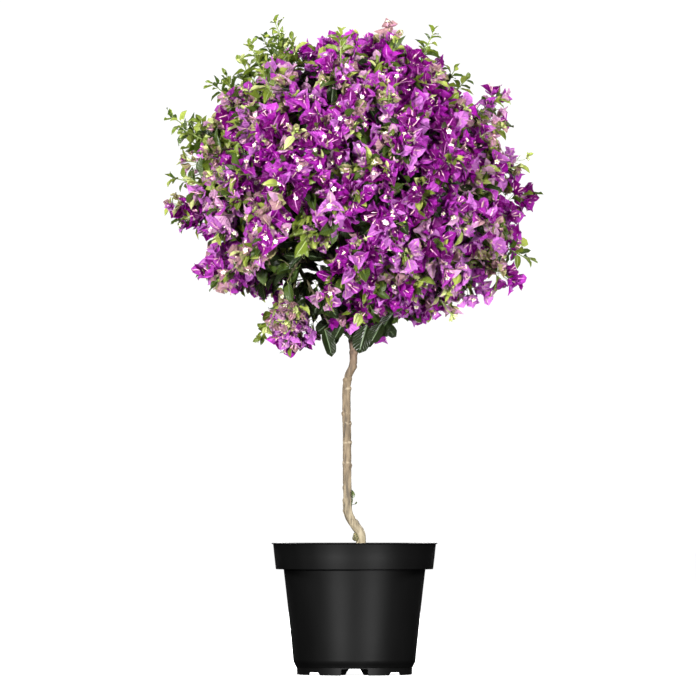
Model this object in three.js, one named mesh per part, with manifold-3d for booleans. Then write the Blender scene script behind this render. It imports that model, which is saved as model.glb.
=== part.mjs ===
// A bougainvillea grown as a standard: a bare, kinked stem under a round flowering head, in a
// plastic nursery pot. Millimetres, +Z up, -Y to the front. The origin is the middle of the
// pot's foot, on the ground.
//
// The head is a set of masses round an open heart. A mass keeps to its own space: the points
// nearer to its centre than to any other mass's, outside its entry plane. One bough crosses the
// heart to each mass, and the mass's stem goes on from the bough's tip.

import * as THREE from "three";
import { mergeVertices } from "three/addons/utils/BufferGeometryUtils.js";
import Module from "manifold-3d";

const wasm = await Module();
wasm.setup();

const GAP = 0.3; // between pieces that touch
const UP = new THREE.Vector3(0, 0, 1);
const GOLDEN_ANGLE = Math.PI * (3 - Math.sqrt(5));
const SEED = 31;

// ---- Driving dimensions ----

const POT = {
  height: 190,
  lipRadius: 120,
  lipDepth: 1.5,
  bandTopRadius: 117.8, // the wide band under the lip
  bandFootRadius: 113.8,
  bandDepth: 38,
  bodyTopRadius: 102.5,
  bodyFootRadius: 88,
  heelRadius: 85.5, // where the wall turns in to the foot ring
  footTopRadius: 83.8,
  footRadius: 83,
  footHeight: 11,
  innerRingRadius: 48,
  wall: 2.2,
  segments: 36,
};
const NOTCH = {
  deep: { width: 40, height: 9.7, slope: 1, turns: [0, 180] }, // in the foot, at the front and back
  arch: { width: 28, height: 9.7, slope: 6, turns: [0, 180] }, // in the inner ring, behind those
  shallow: { width: 26, height: 4.4, slope: 3, turns: [45, 135, 225, 315] }, // in the foot, between them
};
const SOIL = { level: 170, edgeDrop: 4, flatRadius: 26 };

// The stem's stations from the soil to the fork and on as a leader: x, y, z and radius.
const TRUNK_STATIONS = [
  [10, 0, SOIL.level + GAP, 9.2],
  [10, 0, 178, 7.2],
  [9.8, 0, 190, 6.7],
  [8.4, -0.5, 204, 6.5],
  [2.4, -1, 213, 6.3],
  [-5.2, -1, 224, 6.1],
  [-9.8, -1, 236, 6.2],
  [-10.2, 0, 262, 5.8],
  [-10.7, 1, 312, 5.7],
  [-11.4, 0.5, 375, 5.7],
  [-11.2, -0.5, 415, 5.6],
  [-8.6, -1, 433, 5.3],
  [-2.8, -1, 446, 5.2],
  [-1.4, -0.5, 464, 5.1],
  [-3, 0, 492, 5.5],
  [-4.5, 0, 560, 5.6],
  [-6, 0, 650, 4.6],
  [-6, 0, 782, 3.6],
];
const KNOB = { at: [3.2, -1.5, 199], radius: 4.6 }; // the scar of a cut-off sucker

// The head: its middle, how far it reaches to the front and back, and its outline seen from the
// front, every ten degrees from the right upwards.
const CROWN = {
  centre: new THREE.Vector3(-6, 0, 705),
  depth: 254,
  outline: [
    256, 258, 242, 250, 224, 236, 248, 244, 236, 230, 234, 228, 254, 248, 250, 248, 276, 264,
    260, 266, 232, 246, 250, 220, 254, 260, 252, 248, 242, 216, 226, 232, 256, 268, 276, 254,
  ],
  swell: 0.08, // how far a mass swells past the plain outline, as a share of the reach
};
// Rings of masses: how far up they point from the crown's middle, how far out their own middles
// are as a share of the reach, how far back from there a bough comes in and how far up it then
// points, the height of the lowest bough's foot, and where the masses stand, from the right
// round by the back. The top mass stands on the trunk's own tip.
const RINGS = [
  { name: "top", elevation: 90, share: 0.56, back: 0, approach: 90, foot: 0, places: [""] },
  {
    name: "upper",
    elevation: 43,
    share: 0.58,
    back: 60,
    approach: 43,
    foot: 636,
    places: ["_right", "_back", "_left", "_front"],
  },
  {
    name: "middle",
    elevation: -2,
    share: 0.58,
    back: 68,
    approach: 5,
    foot: 572,
    places: ["_right", "_back_right", "_back_left", "_left", "_front_left", "_front_right"],
  },
  {
    name: "lower",
    elevation: -50,
    share: 0.58,
    back: 46,
    approach: -20,
    foot: 514,
    places: ["_right", "_back_right", "_back_left", "_front_left", "_front_right"],
  },
];
const LEAFY = ["upper_left", "middle_back_right", "lower_front_left"]; // with few bracts
const BOUGH = { footRadius: 4.4, tipRadius: 3.2, stagger: 9 };
const SPACE = { margin: 0.8, besideTrunk: 15 };

// Shoots: larger than life, as there are fewer than on the plant.
const SHOOT = { count: 120, rootRadius: 3, tipRadius: 2.2, longShare: 0.06, longReach: 0.08 };
const CORE = { radius: 54, lumps: 0.16 };
const BRACT = { length: 54, width: 44, thickness: 1.9, fold: 6, splay: 60 };
const LEAF = { length: 60, width: 32, thickness: 1.9, fold: 5, splay: 46 };
const SPRAY_STEP = 3.5; // along the twig from one blade to the next

// Single shoots that stand out at the head's sides, seen from the front: the angle from the right
// upwards, in degrees, and the reach from the crown's middle.
const LONG_SHOOTS = [
  { angle: 10, reach: 262 },
  { angle: 341, reach: 266 },
  { angle: 160, reach: 278 },
  { angle: 186, reach: 262 },
  { angle: 246, reach: 262 },
];
const TRUNK_SHOOT = { z: 245, reach: 9, leafLength: 17, leafWidth: 6.5, radius: 0.9 };

// ---- Materials ----

const finish = (color, roughness) => new THREE.MeshStandardMaterial({ color, roughness, metalness: 0 });
const MATERIALS = {
  plastic: finish(0x1c1c1d, 0.5),
  soil: finish(0x3a2c20, 0.95),
  bark: finish(0xa8927a, 0.85),
  blossom: finish(0x9a2fae, 0.7),
  leaves: finish(0x5f7f35, 0.6),
};

// ---- Solids ----

// A closed three.js geometry as a solid that can be joined and cut.
function solid(geometry) {
  const bare = geometry.clone();
  bare.deleteAttribute("normal");
  bare.deleteAttribute("uv");
  const merged = mergeVertices(bare, 1e-4);
  return new wasm.Manifold(
    new wasm.Mesh({
      numProp: 3,
      vertProperties: merged.attributes.position.array,
      triVerts: new Uint32Array(merged.index.array),
    }),
  );
}

// The largest body of a solid, so with loose scraps dropped and sealed hollows filled.
function largestBody(made) {
  const bodies = made.decompose().sort((a, b) => b.volume() - a.volume());
  return bodies[0];
}

function geometryOf(made) {
  const { numProp, numVert, vertProperties, triVerts } = made.getMesh();
  const positions = new Float32Array(numVert * 3);
  for (let i = 0; i < numVert; i++) {
    positions.set(vertProperties.subarray(i * numProp, i * numProp + 3), i * 3);
  }
  const geometry = new THREE.BufferGeometry();
  geometry.setAttribute("position", new THREE.BufferAttribute(positions, 3));
  geometry.setIndex(new THREE.BufferAttribute(triVerts, 1));
  geometry.computeVertexNormals();
  return geometry;
}

function pointsOf(geometry) {
  const position = geometry.getAttribute("position");
  const point = (_, i) => new THREE.Vector3().fromBufferAttribute(position, i);
  return Array.from({ length: position.count }, point);
}

// A number from 0 to 1 that is always the same for one index and channel.
function noise(index, channel = 0) {
  const x = Math.sin(index * 12.9898 + channel * 78.233 + SEED) * 43758.5453;
  return x - Math.floor(x);
}

// A unit vector from an azimuth, from the right round by the back, and an elevation, in degrees.
function direction(azimuth, elevation) {
  const a = THREE.MathUtils.degToRad(azimuth);
  const e = THREE.MathUtils.degToRad(elevation);
  return new THREE.Vector3(Math.cos(a) * Math.cos(e), Math.sin(a) * Math.cos(e), Math.sin(e));
}

// One tapering limb: a capped prism bent along a curve, turned about it by a roll in radians.
// radiusAt gives its radius at 0 to 1.
function limb(curve, radiusAt, sides, steps, roll = 0) {
  const geometry = new THREE.CylinderGeometry(1, 1, 1, sides, steps).rotateY(roll);
  const { normals, binormals } = curve.computeFrenetFrames(steps, false);
  const position = geometry.getAttribute("position");
  for (let i = 0; i < position.count; i++) {
    const t = THREE.MathUtils.clamp(position.getY(i) + 0.5, 0, 1);
    const step = Math.round(t * steps);
    const radius = radiusAt(t);
    const place = curve
      .getPointAt(t)
      .addScaledVector(normals[step], position.getX(i) * radius)
      .addScaledVector(binormals[step], -position.getZ(i) * radius);
    position.setXYZ(i, place.x, place.y, place.z);
  }
  return geometry;
}

// The directions out of the middles of a limb's flat sides, at one of its steps.
function sidesOf(curve, sides, steps, roll, step) {
  const { normals, binormals } = curve.computeFrenetFrames(steps, false);
  return Array.from({ length: sides }, (_, k) => {
    const turn = roll + ((k + 0.5) / sides) * 2 * Math.PI;
    const across = normals[step].clone().multiplyScalar(Math.sin(turn));
    return across.addScaledVector(binormals[step], -Math.cos(turn));
  });
}

const taper = (from, to) => (t) => THREE.MathUtils.lerp(from, to, t);

// A pointed blade of eight faces, folded up along its midrib, from its base along its direction.
function blade(base, along, facing, { length, width, thickness, fold }) {
  const widest = 0.4; // of the way to the tip
  const side = new THREE.Vector3().crossVectors(along, facing).normalize();
  const normal = new THREE.Vector3().crossVectors(side, along).normalize();
  const geometry = new THREE.OctahedronGeometry(1);
  const position = geometry.getAttribute("position");
  for (let i = 0; i < position.count; i++) {
    const [x, y, z] = [position.getX(i), position.getY(i), position.getZ(i)];
    const reach = y === 0 ? widest * length : ((y + 1) / 2) * length;
    position.setXYZ(i, (x * width) / 2, reach, (z * thickness) / 2 + Math.abs(x) * fold);
  }
  return geometry.applyMatrix4(new THREE.Matrix4().makeBasis(side, along, normal).setPosition(base));
}

// ---- Pot and soil ----

// The pot's inside, from the edge of its floor up to the mouth, drawn in by a clearance.
function potInside(clearance) {
  const { wall } = POT;
  const shoulder = POT.height - POT.bandDepth;
  return [
    [POT.heelRadius - wall, POT.footHeight + wall],
    [POT.bodyFootRadius - wall, POT.footHeight + wall + 5],
    [POT.bodyTopRadius - wall, shoulder + wall],
    [POT.bandFootRadius - wall, shoulder + wall],
    [POT.bandTopRadius - wall, POT.height],
  ].map(([radius, z]) => new THREE.Vector2(radius - clearance, z + clearance));
}

// Prisms across the pot's foot, wider at the ground than at their tops, one at each of a notch's
// turns, from one distance to another off the pot's axis.
function notches({ width, height, slope, turns }, from, to) {
  const below = -1;
  const outline = new THREE.Shape([
    new THREE.Vector2(-width / 2, below),
    new THREE.Vector2(width / 2, below),
    new THREE.Vector2(width / 2 - slope, height),
    new THREE.Vector2(-width / 2 + slope, height),
  ]);
  return turns.map((turn) =>
    solid(
      new THREE.ExtrudeGeometry(outline, { depth: to - from, bevelEnabled: false, steps: 1 })
        .rotateX(Math.PI / 2)
        .translate(0, to, 0)
        .rotateZ(THREE.MathUtils.degToRad(turn)),
    ),
  );
}

function pot() {
  const { wall, footHeight } = POT;
  const shoulder = POT.height - POT.bandDepth;
  const ring = POT.innerRingRadius;
  const outside = [
    [0, footHeight],
    [ring - wall, footHeight],
    [ring - wall, 0],
    [ring, 0],
    [ring, footHeight],
    [POT.footTopRadius - wall, footHeight],
    [POT.footRadius - wall, 0],
    [POT.footRadius, 0],
    [POT.footTopRadius, footHeight],
    [POT.heelRadius, footHeight + wall],
    [POT.bodyFootRadius, footHeight + wall + 5],
    [POT.bodyTopRadius, shoulder],
    [POT.bandFootRadius, shoulder],
    [POT.bandTopRadius, POT.height - POT.lipDepth],
    [POT.lipRadius, POT.height - POT.lipDepth],
    [POT.lipRadius, POT.height],
  ].map(([radius, z]) => new THREE.Vector2(radius, z));
  const profile = [...outside, ...potInside(0).reverse(), new THREE.Vector2(0, footHeight + wall)];
  const turned = new THREE.LatheGeometry(profile, POT.segments).rotateX(Math.PI / 2);
  const past = POT.bodyFootRadius + 5;
  const between = (ring + POT.footRadius) / 2;
  const cuts = [
    ...notches(NOTCH.deep, between, past),
    ...notches(NOTCH.arch, ring - 2 * wall, between + 1),
    ...notches(NOTCH.shallow, between, past),
  ];
  return solid(turned).subtract(wasm.Manifold.union(cuts));
}

function soil() {
  const inside = potInside(GAP);
  const wallAbove = inside.pop();
  const shelf = inside[inside.length - 1];
  const edge = SOIL.level - SOIL.edgeDrop;
  const climbed = (edge - shelf.y) / (wallAbove.y - shelf.y);
  const profile = [
    new THREE.Vector2(0, inside[0].y),
    ...inside,
    new THREE.Vector2(THREE.MathUtils.lerp(shelf.x, wallAbove.x, climbed), edge),
    new THREE.Vector2(SOIL.flatRadius, SOIL.level),
    new THREE.Vector2(0, SOIL.level),
  ];
  return solid(new THREE.LatheGeometry(profile, POT.segments).rotateX(Math.PI / 2));
}

// ---- Trunk and boughs ----

const trunkCurve = new THREE.CatmullRomCurve3(TRUNK_STATIONS.map(([x, y, z]) => new THREE.Vector3(x, y, z)));

// The trunk's radius at a height, plus a clearance.
function trunkRadius(z, clearance = 0) {
  const above = TRUNK_STATIONS.findIndex((station) => station[2] >= z);
  if (above <= 0) return TRUNK_STATIONS[above < 0 ? TRUNK_STATIONS.length - 1 : 0][3] + clearance;
  const [low, high] = [TRUNK_STATIONS[above - 1], TRUNK_STATIONS[above]];
  return THREE.MathUtils.mapLinear(z, low[2], high[2], low[3], high[3]) + clearance;
}

function trunkSolid(clearance) {
  const radiusAt = (t) => trunkRadius(trunkCurve.getPointAt(t).z, clearance);
  return solid(limb(trunkCurve, radiusAt, 8, 40));
}

function trunk() {
  const knob = new THREE.IcosahedronGeometry(KNOB.radius, 1).translate(...KNOB.at);
  return largestBody(trunkSolid(0).add(solid(knob)));
}

// The point of the trunk's axis at a height.
function trunkPoint(z) {
  const finest = 400;
  const along = Array.from({ length: finest + 1 }, (_, i) => trunkCurve.getPoint(i / finest));
  return along.reduce((best, p) => (Math.abs(p.z - z) < Math.abs(best.z - z) ? p : best));
}

function bough(mass) {
  const foot = trunkPoint(mass.foot);
  const reach = mass.entry.distanceTo(foot);
  const lift = foot.clone().addScaledVector(direction(mass.azimuth, 52), reach * 0.5);
  const before = mass.entry.clone().addScaledVector(mass.inwards, -reach * 0.3);
  const curve = new THREE.CubicBezierCurve3(foot, lift, before, mass.entry);
  const whole = solid(limb(curve, taper(BOUGH.footRadius, BOUGH.tipRadius), 6, 7));
  return largestBody(whole.subtract(trunkSolid(GAP)));
}

// ---- The head's plan ----

// The front outline's reach at an angle in radians.
function outlineReach(angle) {
  const { outline } = CROWN;
  const place = ((angle / (2 * Math.PI) + 1) % 1) * outline.length;
  const before = Math.floor(place) % outline.length;
  const after = (before + 1) % outline.length;
  return THREE.MathUtils.lerp(outline[before], outline[after], place - Math.floor(place));
}

// How far the crown reaches in a direction, without the masses' own swelling.
function plainReach(d) {
  return 1 / Math.hypot(Math.hypot(d.x, d.z) / outlineReach(Math.atan2(d.z, d.x)), d.y / CROWN.depth);
}

function planMasses() {
  const masses = [];
  for (const ring of RINGS) {
    ring.places.forEach((place, i) => {
      const azimuth = (360 / ring.places.length) * i;
      const outward = direction(azimuth, ring.elevation);
      const inwards = direction(azimuth, ring.approach); // the way that the bough comes in
      const middle = CROWN.centre.clone().addScaledVector(outward, ring.share * CROWN.depth);
      const behind = middle.clone().addScaledVector(inwards, -ring.back);
      const entry = ring.name === "top" ? trunkCurve.getPoint(1) : behind;
      const foot = ring.foot + BOUGH.stagger * ((2 * i) % ring.places.length);
      masses.push({ name: ring.name + place, ring, azimuth, outward, inwards, middle, entry, foot });
    });
  }
  for (const mass of masses) mass.walls = wallsOf(mass, masses);
  return masses;
}

// A mass's space as planes that face into it: one half-way to each other mass, its entry plane,
// and in the lower ring one beside the trunk.
function wallsOf(mass, masses) {
  const plane = (normal, point) => new THREE.Plane().setFromNormalAndCoplanarPoint(normal, point);
  const walls = [plane(mass.inwards, mass.entry)];
  for (const other of masses) {
    if (other === mass) continue;
    const inward = mass.middle.clone().sub(other.middle).normalize();
    const halfWay = mass.middle.clone().add(other.middle).multiplyScalar(0.5);
    walls.push(plane(inward, halfWay.addScaledVector(inward, SPACE.margin)));
  }
  if (mass.ring.name === "lower") {
    const aside = direction(mass.azimuth, 0);
    walls.push(plane(aside, CROWN.centre.clone().addScaledVector(aside, SPACE.besideTrunk)));
  }
  return walls;
}

function inSpace(mass, points) {
  return points.every((p) => mass.walls.every((wall) => wall.distanceToPoint(p) > 0));
}

function nearestMass(point, masses) {
  return masses.reduce((best, m) => (m.middle.distanceTo(point) < best.middle.distanceTo(point) ? m : best));
}

// How far the crown reaches in a direction: away from the outline a mass swells at its middle.
function crownReach(d, masses) {
  const closest = Math.max(...masses.map((mass) => mass.outward.dot(d)));
  const swell = THREE.MathUtils.smoothstep(closest, Math.cos(0.6), 1) - 0.5;
  return plainReach(d) * (1 + CROWN.swell * swell * Math.abs(d.y));
}

// Shoot tips spread over the crown on a golden spiral, a few of them long, and the single shoots
// at its sides.
function planShoots(masses) {
  const spread = Array.from({ length: SHOOT.count }, (_, i) => {
    const z = 1 - (2 * i + 1) / SHOOT.count;
    const across = Math.sqrt(1 - z * z);
    const turn = i * GOLDEN_ANGLE;
    const d = new THREE.Vector3(Math.cos(turn) * across, Math.sin(turn) * across, z);
    const longer = noise(i, 1) < SHOOT.longShare ? SHOOT.longReach * Math.abs(d.y) : 0;
    return { d, reach: crownReach(d, masses) * (1 + longer - 0.03 * noise(i, 2)) };
  });
  const single = LONG_SHOOTS.map(({ angle, reach }) => ({ d: direction(0, angle), reach }));
  return [...spread, ...single].map((shoot, index) => {
    const tip = CROWN.centre.clone().addScaledVector(shoot.d, shoot.reach);
    return { ...shoot, index, mass: nearestMass(tip, masses) };
  });
}

// ---- Masses ----

// A rounded, lumpy core that the shoots stand out of, as large as the mass's space allows.
function coreOf(mass) {
  const room = Math.min(...mass.walls.map((wall) => wall.distanceToPoint(mass.middle)));
  const radius = Math.min(CORE.radius, room / (1 + CORE.lumps));
  const geometry = new THREE.IcosahedronGeometry(1, 1);
  const position = geometry.getAttribute("position");
  for (let i = 0; i < position.count; i++) {
    const p = new THREE.Vector3().fromBufferAttribute(position, i);
    const lump = Math.sin(5 * p.x + mass.azimuth) * Math.sin(5 * p.y) * Math.sin(5 * p.z + 1);
    p.multiplyScalar(radius * (1 + CORE.lumps * lump)).add(mass.middle);
    position.setXYZ(i, p.x, p.y, p.z);
  }
  return geometry;
}

// One blade on a twig: it leaves a flat side of the twig at an angle to its heading.
function bladeOn(base, heading, outwards, shape, scale = 1) {
  const splay = THREE.MathUtils.degToRad(shape.splay);
  const along = heading.clone().multiplyScalar(Math.cos(splay)).addScaledVector(outwards, Math.sin(splay));
  const sized = { ...shape, length: shape.length * scale, width: shape.width * scale };
  return blade(base, along.normalize(), heading, sized);
}

// One shoot: a twig from the mass's middle, blades set round its end, each a step further back,
// as bracts in a bloom or as young leaves, and one leaf on its way. What would leave the mass's
// space is pulled in, made smaller, or left out.
function shootPieces(shoot, mass) {
  const leafy = noise(shoot.index, 4) < (LEAFY.includes(mass.name) ? 0.8 : 0.12);
  const shape = leafy ? LEAF : BRACT;
  const rise = Math.cos(THREE.MathUtils.degToRad(shape.splay)) * shape.length;
  const roll = 2 * Math.PI * noise(shoot.index, 3);
  for (const pull of [1, 0.95, 0.9, 0.85]) {
    const tip = CROWN.centre.clone().addScaledVector(shoot.d, shoot.reach * pull);
    const heading = tip.clone().sub(mass.middle).normalize().add(shoot.d).normalize();
    const end = tip.clone().addScaledVector(heading, -rise + SPRAY_STEP);
    const bend = mass.middle.clone().lerp(end, 0.6).addScaledVector(heading, -8);
    const curve = new THREE.QuadraticBezierCurve3(mass.middle, bend, end);
    const twig = limb(curve, taper(SHOOT.rootRadius, SHOOT.tipRadius), 3, 2, roll);
    if (!inSpace(mass, pointsOf(twig))) continue;
    const ahead = curve.getTangentAt(1);
    const sides = sidesOf(curve, 3, 2, roll, 2);
    const blades = [1, 0.85, 0.7]
      .map((scale) =>
        sides.map((side, k) => {
          const base = end.clone().addScaledVector(ahead, -SPRAY_STEP * (k + 0.6));
          return bladeOn(base, ahead, side, shape, scale);
        }),
      )
      .map((tries) => tries.filter((b) => inSpace(mass, pointsOf(b))))
      .reduce((best, tries) => (tries.length > best.length ? tries : best));
    if (blades.length < 2) continue;
    const side = sidesOf(curve, 3, 2, roll, 1)[shoot.index % 3];
    const leaf = bladeOn(curve.getPointAt(0.72), curve.getTangentAt(0.72), side, LEAF, 0.85);
    return [twig, ...blades, ...(inSpace(mass, pointsOf(leaf)) ? [leaf] : [])];
  }
  return [];
}

function foliage(mass, shoots) {
  const start = mass.entry.clone().addScaledVector(mass.inwards, GAP);
  const ahead = start.clone().addScaledVector(mass.inwards, start.distanceTo(mass.middle) * 0.5);
  const stem = new THREE.QuadraticBezierCurve3(start, ahead, mass.middle);
  const stemRadius = mass.ring.name === "top" ? TRUNK_STATIONS.at(-1)[3] : BOUGH.tipRadius;
  const pieces = [limb(stem, taper(stemRadius - 0.1, SHOOT.rootRadius), 6, 2), coreOf(mass)];
  for (const shoot of shoots) {
    if (shoot.mass === mass) pieces.push(...shootPieces(shoot, mass));
  }
  return largestBody(wasm.Manifold.union(pieces.map(solid)));
}

// A small leafy shoot low on the trunk: a stub, one upright leaf and one bud on a thin stalk.
function trunkShoot() {
  const axis = trunkPoint(TRUNK_SHOOT.z);
  const out = new THREE.Vector3(1, -0.25, 0).normalize();
  const foot = axis.clone();
  const elbow = foot.clone().addScaledVector(out, TRUNK_SHOOT.reach);
  const tip = elbow.clone().addScaledVector(out, 5).addScaledVector(UP, -1.5);
  const curve = new THREE.CatmullRomCurve3([foot, elbow, tip]);
  const stalk = limb(curve, taper(TRUNK_SHOOT.radius * 1.3, TRUNK_SHOOT.radius * 0.8), 5, 6);
  const bud = new THREE.IcosahedronGeometry(1.5, 0).translate(...tip.toArray());
  const leaf = blade(elbow.clone().addScaledVector(UP, -1), UP, out, {
    length: TRUNK_SHOOT.leafLength,
    width: TRUNK_SHOOT.leafWidth,
    thickness: 1,
    fold: 1,
  });
  const whole = wasm.Manifold.union([stalk, bud, leaf].map(solid));
  return largestBody(whole.subtract(trunkSolid(GAP)));
}

// ---- Assembly ----

const plant = new THREE.Group();

function addPiece(name, made, material) {
  const piece = new THREE.Mesh(geometryOf(made), material);
  piece.name = name;
  plant.add(piece);
}

const masses = planMasses();
const shoots = planShoots(masses);

addPiece("pot", pot(), MATERIALS.plastic);
addPiece("soil", soil(), MATERIALS.soil);
addPiece("trunk", trunk(), MATERIALS.bark);
addPiece("trunk_shoot", trunkShoot(), MATERIALS.leaves);
for (const mass of masses) {
  if (mass.ring.name !== "top") addPiece("bough_" + mass.name, bough(mass), MATERIALS.bark);
  const material = LEAFY.includes(mass.name) ? MATERIALS.leaves : MATERIALS.blossom;
  addPiece("foliage_" + mass.name, foliage(mass, shoots), material);
}

export default plant;
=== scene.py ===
"""The looks of a potted bougainvillea standard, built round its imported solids.

The head grows by the rule of the part's source, written again here: boughs cross the head's open
heart to a set of masses, main twigs run from each mass's middle to tips spread over the crown,
and finer twigs, leaves, bracts and flowers carry on from those. Lengths are in metres.
"""

from math import acos, atan2, cos, degrees, exp, floor, hypot, pi, radians, sin, sqrt, tan

import bpy
import numpy as np
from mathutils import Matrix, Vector


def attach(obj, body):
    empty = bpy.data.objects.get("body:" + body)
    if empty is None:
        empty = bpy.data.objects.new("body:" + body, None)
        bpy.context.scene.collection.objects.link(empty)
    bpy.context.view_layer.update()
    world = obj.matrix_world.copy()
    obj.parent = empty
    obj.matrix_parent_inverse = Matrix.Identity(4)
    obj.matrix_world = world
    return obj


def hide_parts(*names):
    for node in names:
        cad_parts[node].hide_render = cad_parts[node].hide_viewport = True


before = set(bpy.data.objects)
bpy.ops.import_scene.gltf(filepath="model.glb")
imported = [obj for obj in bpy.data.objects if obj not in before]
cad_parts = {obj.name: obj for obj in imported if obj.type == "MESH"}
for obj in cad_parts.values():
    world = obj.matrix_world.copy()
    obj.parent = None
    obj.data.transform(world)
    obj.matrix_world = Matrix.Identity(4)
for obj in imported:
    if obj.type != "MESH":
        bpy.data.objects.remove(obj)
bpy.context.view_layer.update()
NODES = list(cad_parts)

MM = 0.001
UP = np.array([0.0, 0.0, 1.0])
GOLDEN_ANGLE = pi * (3 - sqrt(5))
SEED = 31
rng = np.random.default_rng(SEED)

# ---------------------------------------------------------------- camera and lamps

CAMERA_AT = Vector((0.0, -9.0, 0.22))
CAMERA_AIM = Vector((-0.0094, 0.0, 0.4718))
LENS = 321.9
# Each lamp's name, place, width across and power. All of them face the head.
LAMPS = [
    ("key", (-2.3, -4.7, 0.95), 0.6, 620),
    ("second", (2.6, -4.6, 0.6), 1.0, 420),
    ("left", (-4.2, 1.3, 2.6), 1.6, 200),
    ("right", (4.2, 1.3, 2.6), 1.6, 200),
    ("back_left", (-2.2, 4.6, 3.0), 1.6, 290),
    ("back_right", (1.9, 4.8, 2.6), 1.6, 290),
]
LAMP_AIM = Vector((0, 0, 0.6))


def aimed(name, data, at, aim):
    """An object at one place that faces another."""
    made = bpy.data.objects.new(name, data)
    made.location = at
    made.rotation_euler = (aim - at).to_track_quat("-Z", "Y").to_euler()
    bpy.context.collection.objects.link(made)
    return made


def add_camera():
    data = bpy.data.cameras.new("camera")
    data.sensor_width = 36
    data.lens = LENS
    data.clip_end = 100
    bpy.context.scene.camera = aimed("camera", data, CAMERA_AT, CAMERA_AIM)


def add_lamps():
    for name, at, across, power in LAMPS:
        data = bpy.data.lights.new(name, "AREA")
        data.shape = "DISK"
        data.size = across
        data.energy = power
        aimed(name, data, Vector(at), LAMP_AIM)


# ---------------------------------------------------------------- numbers and vectors


def unit(v):
    v = np.asarray(v, float)
    return v / max(np.linalg.norm(v), 1e-12)


def direction(azimuth, elevation):
    """A unit vector from an azimuth, from the right round by the back, and an elevation, in degrees."""
    a, e = radians(azimuth), radians(elevation)
    return np.array([cos(a) * cos(e), sin(a) * cos(e), sin(e)])


def noise(index, channel=0):
    """A number from 0 to 1 that is always the same for one index and channel."""
    x = sin(index * 12.9898 + channel * 78.233 + SEED) * 43758.5453
    return x - floor(x)


def smoothstep(x, low, high):
    t = np.clip((x - low) / (high - low), 0, 1)
    return t * t * (3 - 2 * t)


def lerp(a, b, t):
    return a + (b - a) * t


def srgb(r, g, b):
    """A linear colour from the usual 0 to 255 numbers."""
    return tuple(
        c / 12.92 if c <= 0.04045 else ((c + 0.055) / 1.055) ** 2.4 for c in (r / 255, g / 255, b / 255)
    )


def square_to(axis):
    """Two unit vectors square to an axis and to each other."""
    axis = unit(axis)
    helper = UP if abs(axis[2]) < 0.9 else np.array([1.0, 0.0, 0.0])
    side = unit(np.cross(axis, helper))
    return side, np.cross(axis, side)


def around(axis, turn):
    """The unit vector square to an axis at a turn about it, in radians."""
    side, other = square_to(axis)
    return side * cos(turn) + other * sin(turn)


def bezier(points, steps):
    """Points along a quadratic or cubic Bezier curve."""
    points = [np.asarray(p, float) for p in points]
    t = np.linspace(0, 1, steps + 1)[:, None]
    if len(points) == 3:
        a, b, c = points
        return (1 - t) ** 2 * a + 2 * t * (1 - t) * b + t**2 * c
    a, b, c, d = points
    return (1 - t) ** 3 * a + 3 * t * (1 - t) ** 2 * b + 3 * t**2 * (1 - t) * c + t**3 * d


def through(stations, per_span):
    """Points along the centripetal Catmull-Rom curve through some stations."""
    p = np.asarray(stations, float)
    p = np.vstack([2 * p[0] - p[1], p, 2 * p[-1] - p[-2]])
    made = []
    for k in range(1, len(p) - 2):
        x0, x1, x2, x3 = p[k - 1 : k + 3]
        d0, d1, d2 = (np.linalg.norm(b - a) ** 0.5 for a, b in ((x0, x1), (x1, x2), (x2, x3)))
        t1 = ((x1 - x0) / d0 - (x2 - x0) / (d0 + d1) + (x2 - x1) / d1) * d1
        t2 = ((x2 - x1) / d1 - (x3 - x1) / (d1 + d2) + (x3 - x2) / d2) * d1
        for w in np.arange(per_span) / per_span:
            made.append(
                x1 + t1 * w + (-3 * x1 + 3 * x2 - 2 * t1 - t2) * w**2 + (2 * x1 - 2 * x2 + t1 + t2) * w**3
            )
    made.append(p[-2])
    return np.array(made)


# ---------------------------------------------------------------- meshes


def add_object(mesh, material):
    """An object that shows a mesh, by the mesh's own name, in one material."""
    mesh.materials.append(material)
    made = bpy.data.objects.new(mesh.name, mesh)
    bpy.context.collection.objects.link(made)
    return made


def listed_object(name, points, faces, material):
    """An object from lists of points and of faces with any number of corners."""
    mesh = bpy.data.meshes.new(name)
    mesh.from_pydata(points, [], faces)
    mesh.validate()
    return add_object(mesh, material)


def mesh_object(name, points, faces, uvs, material, smooth=True):
    """An object from points, faces that all have the same number of corners, and a uv per point."""
    faces = np.asarray(faces, np.int32)
    mesh = bpy.data.meshes.new(name)
    mesh.vertices.add(len(points))
    mesh.vertices.foreach_set("co", np.asarray(points, np.float32).ravel())
    mesh.loops.add(faces.size)
    mesh.loops.foreach_set("vertex_index", faces.ravel())
    mesh.polygons.add(len(faces))
    mesh.polygons.foreach_set("loop_start", np.arange(0, faces.size, faces.shape[1], dtype=np.int32))
    mesh.polygons.foreach_set("use_smooth", np.full(len(faces), smooth))
    layer = mesh.uv_layers.new(name="UVMap")
    layer.uv.foreach_set("vector", np.asarray(uvs, np.float32)[faces.ravel()].ravel())
    mesh.update(calc_edges=True)
    mesh.validate()
    return add_object(mesh, material)


def as_piece(made, slot, *replaced):
    """Hangs an object on the plant's root body and hides the solids whose place it takes."""
    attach(made, "root")
    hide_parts(*replaced)


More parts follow.
